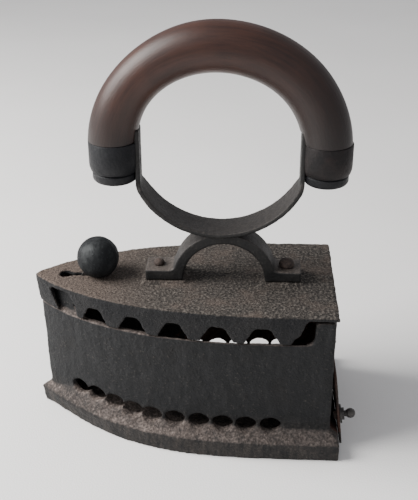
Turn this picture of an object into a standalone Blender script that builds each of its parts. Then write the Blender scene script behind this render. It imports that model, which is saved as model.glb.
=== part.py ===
"""Charcoal clothes iron: a cast-iron firebox on a flat sole, with a hinged lid, a gravity
latch worked by a ball, a forged handle bracket with a half-round wooden grip, and a
draught door at the back.  Units are metres; the tip of the iron points to -X, +Z is up,
and the origin lies on the sole's underside, midway along the flange."""

import math
from collections import namedtuple

import bmesh
import bpy
from mathutils import Vector

MM = 0.001

# ---------------------------------------------------------------- driving sizes
# A flat-iron plan: tip at x = front, straight back at x = rear.
Plan = namedtuple("Plan", "front rear half fullness bluntness")

GAP = 0.3 * MM                      # air left between two pieces that touch
SPARE = 4.0 * MM                    # how far a cutter runs past what it cuts
SIDE_STEPS = 17                     # points along each side of a flat-iron plan
ROUND = 20                          # sides of a turned piece

FLANGE_LENGTH = 207.5 * MM
FLANGE_HALF_WIDTH = 61.8 * MM
TOE_SPRING = 2.0 * MM               # how far the underside stays behind the flange's tip
SOLE_SIDE_DRAFT = 0.5 * MM
FLANGE_EDGE = 12.5 * MM             # height of the flange's upright edge
FLANGE_TOP = 17.5 * MM              # where its slope meets the wall
NOSE_SWELL = 6.5 * MM               # how much higher it meets the wall beside the nose
NOSE_SWELL_FROM_TIP = 22.0 * MM
NOSE_SWELL_RUN = 60.0 * MM
FLOOR = 11.0 * MM                   # thickness of the sole inside the firebox

WALL_FRONT_STEP = 7.2 * MM          # flange tip to wall tip
WALL_REAR_STEP = 6.0 * MM
WALL_HALF_WIDTH = 51.4 * MM
WALL = 4.5 * MM
WALL_TOP = 83.0 * MM
NOSE_RAKE = 2.1 * MM                # how far the nose leans forward up to the ears' height
RIM_LAND = 0.9 * MM                 # flat left on the rim where it slopes inwards
RIM_BEVEL_SETBACK = 117.5 * MM      # where that slope starts, from the back of the wall

LID_HEIGHT = 20.6 * MM              # wall top to lid top
LID_OVERHANG = 1.0 * MM             # lid past the wall at the sides
LID_REAR_OVERHANG = 1.7 * MM
LID_FRONT_OVERHANG = 0.5 * MM
LID_RAKE = 2.4 * MM                 # how far the lid's nose leans forward up to its top
LID_PLATE = 3.0 * MM
LID_EDGE = 0.8 * MM                 # worn round of the plate's top edge
SKIRT = 3.2 * MM
PAD = 1.5 * MM                      # height of the cast pads under the bracket's feet
PAD_MARGIN = 1.2 * MM

RIB_CLEARANCE = 0.5 * MM            # lid skirt to the raised nose rib inside it
RIB = 2.8 * MM
RIB_BEHIND_LATCH = 5.0 * MM
RIB_DROP = 20.0 * MM                # how far the nose rib runs down inside the wall

VENT_HALF_WIDTH = 7.0 * MM
VENT_HALF_HEIGHT = 5.2 * MM
VENT_RISE = 3.0 * MM                # centre above the foot of the wall
VENT_PITCH = 16.0 * MM
VENT_FRONT_PITCH = 14.0 * MM
VENT_COUNT = 10
VENT_REAR_COUNT = 6                 # vents that stand at the wide pitch
NEAR_VENT_SETBACK = 38.8 * MM       # last vent to the back of the wall
FAR_VENT_SETBACK = 29.6 * MM
VENT_SIDES = 18

ARCH_SETBACKS = [41.5 * MM, 67.2 * MM, 93.9 * MM, 121.9 * MM, 150.7 * MM]
ARCH_HALF_BASES = [8.2 * MM, 8.8 * MM, 9.4 * MM, 10.0 * MM, 10.7 * MM]
ARCH_HEIGHT = 11.0 * MM
NOSE_ARCH_SETBACK = 9.9 * MM
NOSE_ARCH_SPAN = 19.0 * MM
RELIEF_RUN = 10.5 * MM              # length of the skirt's S-shaped end in front of the ear

EAR_LENGTH = 17.5 * MM
EAR_TOP_RUN = 7.0 * MM              # how far the ear's front edge leans back
EAR_FOOT_R = 4.5 * MM
EAR_SHOULDER_R = 2.5 * MM
EAR_CLEARANCE = 1.3 * MM            # ear top to the lid plate
EAR_RETURN = 3.0 * MM               # the ear's short turn along the back wall
EAR_CHAMFER = 0.8 * MM
HINGE_SETBACK = 4.3 * MM            # pin's axis to the back of the wall
HINGE_RISE = 7.5 * MM               # pin's axis above the wall top
HINGE_PIN_R = 2.6 * MM
HINGE_SKIN = 1.5 * MM               # iron left over the pin's blind end
HINGE_LUG_R = 5.0 * MM
HINGE_LUG = 4.0 * MM
LUG_SIDE_CLEARANCE = 1.0 * MM
LIP_THICKNESS = 2.2 * MM
LIP_CLEARANCE = 3.5 * MM            # back lip to the top of the back wall
LIP_BEHIND_PIN = 5.2 * MM

LATCH_SETBACK = 28.4 * MM           # latch pivot behind the lid's tip
LATCH_DROP = 5.6 * MM               # pivot below the lid plate
LATCH_PIN_R = 1.5 * MM
LATCH_PIN_PROUD = 0.6 * MM
LATCH_HUB_R = 4.6 * MM
LATCH_LUG_R = 5.0 * MM
LATCH_LUG = 2.6 * MM
LEVER_THICKNESS = 2.8 * MM
LEVER_STEM = 6.4 * MM
LEVER_ARM = 4.0 * MM
CLAW = 3.4 * MM
CLAW_START = math.radians(35)       # from straight down, towards the tip
BALL_R = 13.9 * MM
BALL_LEAN = 12.6 * MM               # ball's centre behind the pivot, at rest
BALL_SEAT = 1.6 * MM                # worn flat where the ball rests on the lid
BALL_CLEARANCE = 0.5 * MM
TENON = 5.2 * MM
TENON_DEPTH = 9.0 * MM
SLOT_AHEAD = 13.5 * MM
SLOT_BEHIND = 9.2 * MM
SLOT_SIDE_CLEARANCE = 0.6 * MM      # lever's cheeks to the slot's
SLOT_EYE_HALF = 4.3 * MM
CATCH_R = 1.7 * MM
CATCH_CLEARANCE = 1.1 * MM          # catch pin to the latch's hub, and to its claw

HANDLE_X = 23.0 * MM
HANDLE_RISE = 89.9 * MM             # lid top to the centre of the grip's half circle
GRIP_BEND_R = 67.0 * MM
GRIP_R = 15.8 * MM
GRIP_WEAR = 1.1 * MM                # how much thinner the grip is at its front shoulder
GRIP_SHOULDER_OUT = 1.2 * MM        # how far that shoulder stands outside the half circle
GRIP_CROWN_IN = 0.9 * MM            # how far the top behind it stays inside
GRIP_SHOULDER_ANGLE = math.radians(155)     # angles up from the grip's rear end
GRIP_CROWN_ANGLE = math.radians(75)
GRIP_WEAR_ANGLE = math.radians(137)
GRIP_WEAR_REACH = math.radians(45)
GRIP_END_R = 14.2 * MM              # wood turned down inside the ferrule
FERRULE_ABOVE = 6.5 * MM            # ferrule's ends above and below the grip's centre
FERRULE_BELOW = 13.2 * MM
FERRULE_WALL = 1.7 * MM
FERRULE_TAPER = 1.0 * MM
FERRULE_TAPER_HEIGHT = 5.0 * MM
CAP_PAST_WOOD = 0.1 * MM            # cap's radius past the wood's turned end
CAP_HEIGHT = 7.3 * MM
CAP_ROUND = 2.6 * MM
CAP_SCREW_R = 1.6 * MM
CAP_SCREW_HEAD_R = 3.4 * MM
CAP_SCREW_DEPTH = 12.0 * MM         # how far it runs up into the wood
FRONT_SCREW_PROUD = 1.6 * MM
REAR_SCREW_PROUD = 0.5 * MM

STRAP_SWELL = 5.8 * MM              # how far the strap's arc swells out past its tangs
STRAP_ABOVE_GRIP = 3.5 * MM         # strap's centre above the grip's
STRAP_THICKNESS = 3.0 * MM
STRAP_WIDTH = 25.0 * MM
TANG_WIDTH = 14.0 * MM
TANG_ABOVE_GRIP = 14.1 * MM
TANG_PROUD = 0.4 * MM
STRAP_BEND = math.radians(61)       # where the arc starts to turn up along the grip
TANG_NAIL_R = 1.2 * MM
TANG_NAIL_DEPTH = 10.0 * MM
TANG_NAIL_HEIGHTS = {"lower": -7.5 * MM, "upper": 2.0 * MM}

BRIDGE_X = 26.0 * MM
BRIDGE_INNER_R = 27.0 * MM
BRIDGE_LEG = 6.9 * MM
BRIDGE_WIDTH = 20.0 * MM
FOOT_THICKNESS = 7.0 * MM
FRONT_FOOT = 24.7 * MM
REAR_FOOT = 23.7 * MM
FOOT_FILLET = 3.0 * MM
BOLT_R = 2.7 * MM
FRONT_BOLT_INSET = 8.4 * MM         # bolt's axis from the end of its foot
REAR_BOLT_INSET = 9.4 * MM
FRONT_HEAD_R = 3.8 * MM
FRONT_HEAD = 3.4 * MM
REAR_HEAD_R = 5.3 * MM
REAR_HEAD = 5.4 * MM
NUT_FLAT = 4.6 * MM                 # half the distance across flats
NUT_HEIGHT = 4.0 * MM
BOLT_TAIL = 1.4 * MM

DRAUGHT_HALF = 32.0 * MM
DRAUGHT_ABOVE_FLANGE = 3.5 * MM
DRAUGHT_HEIGHT = 26.0 * MM
DRAUGHT_CORNER = 6.0 * MM
DOOR_PIVOT_RISE = 13.0 * MM         # door's pivot above the draught opening
DOOR_KNUCKLE_R = 2.3 * MM
DOOR_STEP = 0.1 * MM                # knuckle's back to the plate's, and plate to neck
DOOR_PIN_R = 1.1 * MM
DOOR_PIN_PROUD = 0.6 * MM
DOOR_SIDE_COVER = 14.0 * MM         # door past the opening at each side
DOOR_THICKNESS = 1.8 * MM
DOOR_GROUND = 3.0 * MM              # door's lower edge above the table
DOOR_KNUCKLE_HALF = 6.7 * MM
DOOR_LUG = 3.0 * MM
DOOR_WALL_CLEARANCE = 0.5 * MM
DOOR_TOP_DROP = 2.6 * MM            # plate's top edge below the pivot
DOOR_CORNER = 6.0 * MM
KNOB_INSET = 6.0 * MM               # knob's axis from the door's near edge
KNOB_ABOVE_DRAUGHT = 2.0 * MM       # knob's axis above the opening's lower edge
KNOB_BALL_R = 3.4 * MM
KNOB_NECK_R = 1.9 * MM
KNOB_FLANGE_R = 6.4 * MM
KNOB_STEP_R = 4.1 * MM
KNOB_FLANGE = 1.0 * MM
KNOB_STEP = 1.8 * MM
KNOB_REACH = 10.6 * MM              # door face to the ball's outer end
KNOB_SHANK_R = 1.3 * MM
KNOB_NUT_R = 3.2 * MM
KNOB_NUT = 1.8 * MM
KNOB_TAIL = 0.4 * MM

# ---------------------------------------------------------------- sizes that follow
FLANGE_FRONT = -FLANGE_LENGTH / 2
FLANGE_REAR = FLANGE_LENGTH / 2
FLANGE = Plan(FLANGE_FRONT, FLANGE_REAR, FLANGE_HALF_WIDTH, 3.7, 1.0)
SOLE_FACE = Plan(FLANGE_FRONT + TOE_SPRING, FLANGE_REAR,
                 FLANGE_HALF_WIDTH - SOLE_SIDE_DRAFT, 4.2, 1.3)
WALL_PLAN = Plan(FLANGE_FRONT + WALL_FRONT_STEP, FLANGE_REAR - WALL_REAR_STEP,
                 WALL_HALF_WIDTH, 3.33, 0.877)
RIM_PLAN = WALL_PLAN._replace(front=WALL_PLAN.front - NOSE_RAKE)
LID_PLAN = Plan(RIM_PLAN.front - LID_FRONT_OVERHANG, WALL_PLAN.rear + LID_REAR_OVERHANG,
                WALL_HALF_WIDTH + LID_OVERHANG, 3.33, 0.877)
LID_TOP_PLAN = Plan(LID_PLAN.front - LID_RAKE, LID_PLAN.rear, LID_PLAN.half, 3.2, 0.84)
TIP_STRETCH = 1.65                  # a wall's thickness along X at the tip, per unit of wall

LID_TOP = WALL_TOP + LID_HEIGHT
LID_UNDER = LID_TOP - LID_PLATE
LID_MIDDLE = LID_TOP - LID_PLATE / 2
SKIRT_BOTTOM = WALL_TOP + GAP
EAR_TOP = LID_UNDER - EAR_CLEARANCE
EAR_START = WALL_PLAN.rear - EAR_LENGTH
RELIEF_START = EAR_START - RELIEF_RUN
EAR_INNER = WALL_HALF_WIDTH - WALL
EAR_RETURN_Y = EAR_INNER - EAR_RETURN
HINGE_X = WALL_PLAN.rear - HINGE_SETBACK
HINGE_Z = WALL_TOP + HINGE_RISE
HINGE_LUG_OUT = EAR_RETURN_Y - LUG_SIDE_CLEARANCE
HINGE_LUG_IN = HINGE_LUG_OUT - HINGE_LUG
NOSE_ARCH_FRONT = LID_PLAN.front + NOSE_ARCH_SETBACK

LATCH_X = LID_PLAN.front + LATCH_SETBACK
LATCH_Z = LID_UNDER - LATCH_DROP
SLOT_HALF = LEVER_THICKNESS / 2 + SLOT_SIDE_CLEARANCE
RIB_END = LATCH_X + RIB_BEHIND_LATCH
CATCH_Z = LATCH_Z - LATCH_HUB_R - CATCH_CLEARANCE - CATCH_R
CLAW_INNER_R = LATCH_Z - CATCH_Z + CATCH_R + CATCH_CLEARANCE
CLAW_OUTER_R = CLAW_INNER_R + CLAW
BALL_X = LATCH_X + BALL_LEAN
BALL_Z = LID_TOP + BALL_CLEARANCE + BALL_R - BALL_SEAT
BALL_REACH = math.hypot(BALL_X - LATCH_X, BALL_Z - LATCH_Z)
STEM_ANGLE = math.pi + math.atan2(BALL_X - LATCH_X, BALL_Z - LATCH_Z)

FOOT_BOTTOM = LID_TOP + PAD + GAP
FOOT_TOP = FOOT_BOTTOM + FOOT_THICKNESS
BRIDGE_OUTER_R = BRIDGE_INNER_R + BRIDGE_LEG
FRONT_FOOT_END = BRIDGE_X - BRIDGE_INNER_R - FRONT_FOOT
REAR_FOOT_END = BRIDGE_X + BRIDGE_INNER_R + REAR_FOOT
FRONT_BOLT_X = FRONT_FOOT_END + FRONT_BOLT_INSET
REAR_BOLT_X = REAR_FOOT_END - REAR_BOLT_INSET
BOLT_PLACES = {"front": FRONT_BOLT_X, "rear": REAR_BOLT_X}

GRIP_Z = LID_TOP + HANDLE_RISE
STRAP_Z = GRIP_Z + STRAP_ABOVE_GRIP
TANG_TOP = GRIP_Z + TANG_ABOVE_GRIP
FERRULE_TOP = GRIP_Z + FERRULE_ABOVE
FERRULE_BOTTOM = GRIP_Z - FERRULE_BELOW
CAP_TOP = FERRULE_BOTTOM - GAP
CAP_BOTTOM = CAP_TOP - CAP_HEIGHT
CAP_SCREW_TOP = FERRULE_BOTTOM + CAP_SCREW_DEPTH
FERRULE_R = GRIP_END_R + GAP + FERRULE_WALL
CAP_R = GRIP_END_R + CAP_PAST_WOOD
TANG_OFFSET = FERRULE_R + TANG_PROUD - STRAP_THICKNESS / 2
STRAP_R = GRIP_BEND_R - TANG_OFFSET + STRAP_SWELL
BRIDGE_RISE = STRAP_Z - STRAP_R - FOOT_BOTTOM

DRAUGHT_BOTTOM = FLANGE_TOP + DRAUGHT_ABOVE_FLANGE
DRAUGHT_TOP = DRAUGHT_BOTTOM + DRAUGHT_HEIGHT
DOOR_Z = DRAUGHT_TOP + DOOR_PIVOT_RISE
DOOR_X = WALL_PLAN.rear + DOOR_WALL_CLEARANCE + DOOR_KNUCKLE_R
DOOR_HALF_WIDTH = DRAUGHT_HALF + DOOR_SIDE_COVER
DOOR_INNER = DOOR_KNUCKLE_R - DOOR_STEP
DOOR_OUTER = DOOR_THICKNESS - DOOR_INNER
KNOB_Y = KNOB_INSET - DOOR_HALF_WIDTH
KNOB_Z = DRAUGHT_BOTTOM + KNOB_ABOVE_DRAUGHT
SOLE_EDGE = Vector((FLANGE_REAR - DOOR_X, 0, FLANGE_EDGE - DOOR_Z))
DOOR_LEAN = (math.atan2(SOLE_EDGE.x, -SOLE_EDGE.z)
             + math.asin((DOOR_INNER + GAP) / SOLE_EDGE.length))


# ---------------------------------------------------------------- shared shapes
def nested(plan, depth):
    """The plan drawn in by a wall of the given depth."""
    return Plan(plan.front + depth * TIP_STRETCH, plan.rear - depth, plan.half - depth,
                plan.fullness, plan.bluntness)


def half_width(plan, x):
    """Half the plan's width at x."""
    share = (x - plan.front) / (plan.rear - plan.front)
    share = min(max(share, 0.0), 1.0)
    return plan.half * (1 - (1 - share) ** plan.fullness) ** plan.bluntness


def side_points(plan, start, end, steps):
    """Points (x, half width) along one side, closer together near the tip."""
    points = []
    for step in range(steps + 1):
        x = start + (end - start) * (step / steps) ** 1.8
        points.append((x, half_width(plan, x)))
    return points


def loop(plan, z):
    """The plan's closed outline at height z, counter-clockwise from above."""
    side = side_points(plan, plan.front, plan.rear, SIDE_STEPS)
    near = [Vector((x, -half, z)) for x, half in side]
    far = [Vector((x, half, z)) for x, half in reversed(side[1:])]
    return near + far


def arc(cx, cz, radius, start, end, steps):
    """Points on a circle in the XZ plane; angles run from +X towards +Z."""
    points = []
    for step in range(steps + 1):
        angle = start + (end - start) * step / steps
        points.append((cx + radius * math.cos(angle), cz + radius * math.sin(angle)))
    return points


def finish(name, bm, material, smooth=35):
    """Turn a bmesh into a named object with its material and its smooth shading."""
    mesh = bpy.data.meshes.new(name)
    bm.to_mesh(mesh)
    bm.free()
    piece = bpy.data.objects.new(name, mesh)
    bpy.context.scene.collection.objects.link(piece)
    if material:
        mesh.materials.append(material)
    mesh.shade_smooth()
    mesh.set_sharp_from_angle(angle=math.radians(smooth))
    return piece


def loft(name, loops, material=None):
    """A closed body through loops of equal length, capped at both ends."""
    bm = bmesh.new()
    rings = [[bm.verts.new(point) for point in ring] for ring in loops]
    count = len(rings[0])
    for lower, upper in zip(rings, rings[1:]):
        for i in range(count):
            j = (i + 1) % count
            bm.faces.new((lower[i], lower[j], upper[j], upper[i]))
    bm.faces.new(reversed(rings[0]))
    bm.faces.new(rings[-1])
    return finish(name, bm, material)


def slab(name, outline, y0, y1, material=None):
    """An XZ outline, counter-clockwise as seen from -Y, extruded from y0 to y1."""
    front = [Vector((x, y0, z)) for x, z in outline]
    back = [Vector((x, y1, z)) for x, z in outline]
    return loft(name, [back, front], material)


def standing(name, outline, z0, z1, material=None):
    """An XY outline, counter-clockwise from above, extruded from z0 to z1."""
    low = [Vector((x, y, z0)) for x, y in outline]
    high = [Vector((x, y, z1)) for x, y in outline]
    return loft(name, [low, high], material)


def block(name, low, high, material=None):
    """A rectangular body between two corners."""
    outline = [(low[0], low[1]), (high[0], low[1]), (high[0], high[1]), (low[0], high[1])]
    return standing(name, outline, low[2], high[2], material)


def turned(name, profile, origin, axis, material=None, sides=ROUND):
    """A body turned about an axis; the profile is (radius, distance along the axis)."""
    axis = Vector(axis).normalized()
    across = axis.orthogonal().normalized()
    other = axis.cross(across)
    origin = Vector(origin)
    bm = bmesh.new()
    rings = []
    for radius, along in profile:
        centre = origin + axis * along
        if radius == 0:
            rings.append([bm.verts.new(centre)])
            continue
        ring = []
        for side in range(sides):
            angle = math.tau * side / sides
            spoke = across * math.cos(angle) + other * math.sin(angle)
            ring.append(bm.verts.new(centre + spoke * radius))
        rings.append(ring)
    for lower, upper in zip(rings, rings[1:]):
        for i in range(sides):
            j = (i + 1) % sides
            corners = [lower[i % len(lower)], lower[j % len(lower)],
                       upper[j % len(upper)], upper[i % len(upper)]]
            bm.faces.new(list(dict.fromkeys(corners)))
    for ring, flip in ((rings[0], True), (rings[-1], False)):
        if len(ring) > 1:
            bm.faces.new(reversed(ring) if flip else ring)
    return finish(name, bm, material)


def rod(name, radius, start, end, material=None, sides=ROUND):
    """A plain round rod between two points."""
    start = Vector(start)
    along = Vector(end) - start
    return turned(name, [(radius, 0), (radius, along.length)], start, along, material, sides)


def ring_profile(inner, outer, start, end):
    """Closed profile of a plain tube, for turned_ring."""
    return [(inner, start), (outer, start), (outer, end), (inner, end)]


def turned_ring(name, profile, origin, axis, material=None, sides=ROUND):
    """A tube-like body turned about an axis from a closed profile."""
    axis = Vector(axis).normalized()
    across = axis.orthogonal().normalized()
    other = axis.cross(across)
    bm = bmesh.new()
    spokes = []
    for side in range(sides):
        angle = math.tau * side / sides
        spoke = across * math.cos(angle) + other * math.sin(angle)
        spokes.append([bm.verts.new(Vector(origin) + axis * along + spoke * radius)
                       for radius, along in profile])
    count = len(profile)
    for here, there in zip(spokes, spokes[1:] + spokes[:1]):
        for i in range(count):
            j = (i + 1) % count
            bm.faces.new((here[i], there[i], there[j], here[j]))
    return finish(name, bm, material)


def combine(piece, tool, operation):
    """Join a tool to a piece or cut it away, and leave the tool out of the build."""
    tool.hide_render = True
    tool.display_type = 'WIRE'
    modifier = piece.modifiers.new(tool.name, 'BOOLEAN')
    modifier.operation = operation
    modifier.object = tool


def fuse(piece, *tools):
    for tool in tools:
        combine(piece, tool, 'UNION')


def cut(piece, *tools):
    for tool in tools:
        combine(piece, tool, 'DIFFERENCE')


def finish_material(name, color, roughness, metallic):
    """A plain Principled material with the piece's colour and finish."""
    material = bpy.data.materials.new(name)
    material.use_nodes = True
    shader = material.node_tree.nodes["Principled BSDF"]
    shader.inputs["Base Color"].default_value = (*color, 1)
    shader.inputs["Roughness"].default_value = roughness
    shader.inputs["Metallic"].default_value = metallic
    return material


# ---------------------------------------------------------------- body casting
def nose_swell(x):
    """How much higher the slope meets the wall at x: a swell on each side of the nose."""
    from_crest = x - (FLANGE_FRONT + WALL_FRONT_STEP + NOSE_SWELL_FROM_TIP)
    run = NOSE_SWELL_RUN if from_crest > 0 else NOSE_SWELL_FROM_TIP
    share = min(abs(from_crest) / run, 1.0)
    return NOSE_SWELL * (1 + math.cos(math.pi * share)) / 2


def wall_foot():
    """The closed line where the flange's slope meets the wall."""
    ring = loop(WALL_PLAN, FLANGE_TOP)
    for point in ring:
        point.z += nose_swell(point.x)
    return ring


def vent_places(setback):
    """Centre and outward direction of each vent on the near side, walked along the wall."""
    side = side_points(WALL_PLAN, WALL_PLAN.front, WALL_PLAN.rear, 400)
    travelled = 0.0
    wanted = setback
    places = []
    for (x1, y1), (x0, y0) in zip(reversed(side), reversed(side[:-1])):
        travelled += math.hypot(x1 - x0, y1 - y0)
        if travelled >= wanted:
            height = FLANGE_TOP + nose_swell(x0) + VENT_RISE
            outward = Vector((-(y1 - y0), -(x1 - x0), 0)).normalized()
            places.append((Vector((x0, -y0, height)), outward))
            wanted += VENT_PITCH if len(places) < VENT_REAR_COUNT else VENT_FRONT_PITCH
        if len(places) == VENT_COUNT:
            break
    return places


def cut_vents(body, side, setback):
    """Oval air holes at the foot of the wall, notched a little into the flange's slope."""
    reach_in = WALL + SPARE
    reach_out = FLANGE_HALF_WIDTH - WALL_HALF_WIDTH + SPARE
    for index, (centre, outward) in enumerate(vent_places(setback)):
        middle = Vector((centre.x, -side * centre.y, centre.z))
        away = Vector((outward.x, -side * outward.y, 0))
        along = Vector((-away.y, away.x, 0))
        turns = [math.tau * step / VENT_SIDES for step in range(VENT_SIDES)]
        oval = [along * (VENT_HALF_WIDTH * math.cos(turn))
                + Vector((0, 0, VENT_HALF_HEIGHT * math.sin(turn))) for turn in turns]
        inside = [middle - away * reach_in + point for point in oval]
        outside = [middle + away * reach_out + point for point in oval]
        cut(body, loft(f"vent_cut_{index}_{side}", [inside, outside]))


def ear_front():
    """The front edge of the ear, from the wall's top up to the ear's own top."""
    low = arc(EAR_START, WALL_TOP + EAR_FOOT_R, EAR_FOOT_R, -math.pi / 2, 0, 4)
    high = arc(EAR_START + EAR_TOP_RUN, EAR_TOP - EAR_SHOULDER_R, EAR_SHOULDER_R,
               math.pi, math.pi / 2, 3)
    return low + high


def raised_nose():
    """The rib inside the nose that stands up within the lid's skirt."""
    outer = nested(RIM_PLAN, SKIRT + RIB_CLEARANCE)
    inner = nested(outer, RIB)
    outside = side_points(outer, outer.front, RIB_END, 8)
    inside = side_points(inner, inner.front, RIB_END, 8)
    outline = [(x, y) for x, y in reversed(outside)]
    outline += [(x, -y) for x, y in outside[1:]]
    outline += [(x, -y) for x, y in reversed(inside)]
    outline += [(x, y) for x, y in inside[1:]]
    return standing("nose_rib", outline, WALL_TOP - RIB_DROP, EAR_TOP)


def rim_bevel(side):
    """Cutter that slopes the rim inwards, from a narrow land down the inner face."""
    loops = []
    depth = WALL - RIM_LAND + GAP
    start = WALL_PLAN.rear - RIM_BEVEL_SETBACK
    for x, half in side_points(WALL_PLAN, start, EAR_START, 10):
        land = side * (half - RIM_LAND)
        inner = side * (half - RIM_LAND - depth)
        loops.append([Vector((x, land, WALL_TOP)), Vector((x, inner, WALL_TOP - depth)),
                      Vector((x, inner, WALL_TOP + GAP)), Vector((x, land, WALL_TOP + GAP))])
    if side > 0:
        loops.reverse()
    return loft(f"rim_bevel_{side}", loops)


def door_lug(side):
    """One of the two small lugs on the back wall that carry the door's pin."""
    outline = arc(DOOR_X, DOOR_Z, DOOR_KNUCKLE_R, -math.pi / 2, math.pi / 2, 8)
    wall = WALL_PLAN.rear - WALL / 2
    outline += [(wall, DOOR_Z + DOOR_KNUCKLE_R), (wall, DOOR_Z - DOOR_KNUCKLE_R)]
    inner = DOOR_KNUCKLE_HALF + GAP
    ends = sorted((side * inner, side * (inner + DOOR_LUG)))
    return slab(f"door_lug_{side}", outline, *ends)


def rounded_opening():
    """Cutter for the draught opening in the back wall."""
    outline = []
    for y, z, turn in ((1, 1, 0), (-1, 1, 1), (-1, -1, 2), (1, -1, 3)):
        cy = y * (DRAUGHT_HALF - DRAUGHT_CORNER)
        middle = (DRAUGHT_TOP + DRAUGHT_BOTTOM) / 2
        cz = middle + z * (DRAUGHT_HEIGHT / 2 - DRAUGHT_CORNER)
        start = turn * math.pi / 2
        outline += arc(cy, cz, DRAUGHT_CORNER, start, start + math.pi / 2, 4)
    inside = WALL_PLAN.rear - 2 * WALL
    outside = WALL_PLAN.rear + WALL
    return loft("draught_cut", [[Vector((inside, y, z)) for y, z in outline],
                                [Vector((outside, y, z)) for y, z in outline]])


def make_body(iron):
    body = loft("body_casting", [
        loop(SOLE_FACE, 0), loop(FLANGE, FLANGE_EDGE), wall_foot(),
        loop(RIM_PLAN, EAR_TOP), loop(nested(RIM_PLAN, WALL), EAR_TOP),
        loop(nested(WALL_PLAN, WALL), FLOOR)], iron)
    ahead = RIM_PLAN.front - SPARE
    behind = WALL_PLAN.rear + SPARE
    above = EAR_TOP + SPARE
    wide = WALL_HALF_WIDTH + SPARE
    rim = [(ahead, WALL_TOP)] + ear_front()
    rim += [(rim[-1][0], above), (ahead, above)]
    corner = [(WALL_PLAN.rear - EAR_CHAMFER, EAR_TOP), (behind, EAR_TOP - EAR_CHAMFER - SPARE),
              (behind, above), (WALL_PLAN.rear - EAR_CHAMFER, above)]
    back_gap = block("back_gap_cut", (HINGE_X - HINGE_LUG_R - SPARE, -EAR_RETURN_Y, WALL_TOP),
                     (behind, EAR_RETURN_Y, above))
    cut(body, slab("rim_cut", rim, -wide, wide), slab("ear_corner_cut", corner, -wide, wide),
        back_gap, rim_bevel(-1), rim_bevel(1), rounded_opening())
    cut_vents(body, -1, NEAR_VENT_SETBACK)
    cut_vents(body, 1, FAR_VENT_SETBACK)
    fuse(body, raised_nose(), door_lug(-1), door_lug(1))
    reach = 2 * (DOOR_KNUCKLE_HALF + DOOR_LUG)
    cut(body,
        rod("hinge_bore_cut", HINGE_PIN_R + GAP, (HINGE_X, HINGE_SKIN - WALL_HALF_WIDTH, HINGE_Z),
            (HINGE_X, wide, HINGE_Z)),
        rod("door_bore_cut", DOOR_PIN_R + GAP, (DOOR_X, -reach, DOOR_Z),
            (DOOR_X, reach, DOOR_Z), sides=12),
        rod("catch_bore_cut", CATCH_R + GAP, (LATCH_X, -wide, CATCH_Z),
            (LATCH_X, wide, CATCH_Z), sides=14))
    return body


def make_catch_pin(iron):
    """The pin driven across the nose rib, which the latch's claw hooks under."""
    rib = nested(RIM_PLAN, SKIRT + RIB_CLEARANCE)
    end = half_width(rib, LATCH_X - CATCH_R) - GAP
    return rod("catch_pin", CATCH_R, (LATCH_X, -end, CATCH_Z), (LATCH_X, end, CATCH_Z), iron,
               sides=14)


# ---------------------------------------------------------------- lid casting
def arch_outline(setback, half_base):
    """A bell-shaped gap in the skirt: flared feet and a rounded, nearly flat top."""
    shape = [(1.06, 0.0), (0.98, 0.16), (0.86, 0.36), (0.70, 0.58), (0.585, 0.78),
             (0.46, 0.93), (0.26, 1.0)]
    centre = LID_PLAN.front + setback
    right = [(centre + half_base * x, SKIRT_BOTTOM + ARCH_HEIGHT * z) for x, z in shape]
    left = [(2 * centre - x, z) for x, z in reversed(right)]
    under = SKIRT_BOTTOM - SPARE
    return [(left[-1][0], under), (right[0][0], under)] + right + left


def nose_arch_outline():
    """The tall leaf-shaped gap near the tip that bares the raised nose."""
    shape = [(1.0, 0.0), (0.97, 0.34), (0.92, 0.57), (0.83, 0.79), (0.71, 0.94), (0.55, 1.0),
             (0.14, 1.0), (0.04, 0.95), (0.0, 0.86), (0.05, 0.68), (0.17, 0.34), (0.29, 0.0)]
    height = LID_UNDER - GAP - SKIRT_BOTTOM
    rim = [(NOSE_ARCH_FRONT + NOSE_ARCH_SPAN * x, SKIRT_BOTTOM + height * z) for x, z in shape]
    under = SKIRT_BOTTOM - SPARE
    return [(rim[-1][0], under), (rim[0][0], under)] + rim


def relief_outline():
    """The skirt's end, rising in an S from the wall's top to the plate in front of the ear."""
    top = LID_UNDER + GAP
    rise = top - SKIRT_BOTTOM
    shape = [(1.0, 1.0), (0.93, 0.95), (0.79, 0.80), (0.62, 0.54), (0.49, 0.37), (0.23, 0.25),
             (0.0, 0.0)]
    edge = [(RELIEF_START + RELIEF_RUN * x, SKIRT_BOTTOM + rise * z) for x, z in shape]
    behind = LID_PLAN.rear + SPARE
    under = SKIRT_BOTTOM - SPARE
    return [(RELIEF_START, under), (behind, under), (behind, top)] + edge


def hanging_lug(name, x, z, radius, y0, y1):
    """A lug under the lid: a rounded end about a pin, with straight cheeks up to the plate."""
    outline = arc(x, z, radius, -math.pi, 0, 10)
    outline += [(x + radius, LID_MIDDLE), (x - radius, LID_MIDDLE)]
    ends = sorted((y0, y1))
    return slab(name, outline, *ends)


def latch_slot():
    """Keyhole slot for the latch lever: a wide eye in front that narrows to a straight run."""
    front = LATCH_X - SLOT_AHEAD
    eye = LATCH_X - LATCH_HUB_R
    middle = (front + eye) / 2
    half = [(front, SLOT_HALF), (front + SLOT_HALF, SLOT_EYE_HALF), (middle, SLOT_EYE_HALF),
            (eye, SLOT_HALF), (LATCH_X + SLOT_BEHIND, SLOT_HALF)]
    outline = [(x, -y) for x, y in half] + [(x, y) for x, y in reversed(half)]
    return standing("latch_slot_cut", outline, LID_UNDER - SPARE, LID_TOP + SPARE)


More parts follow.
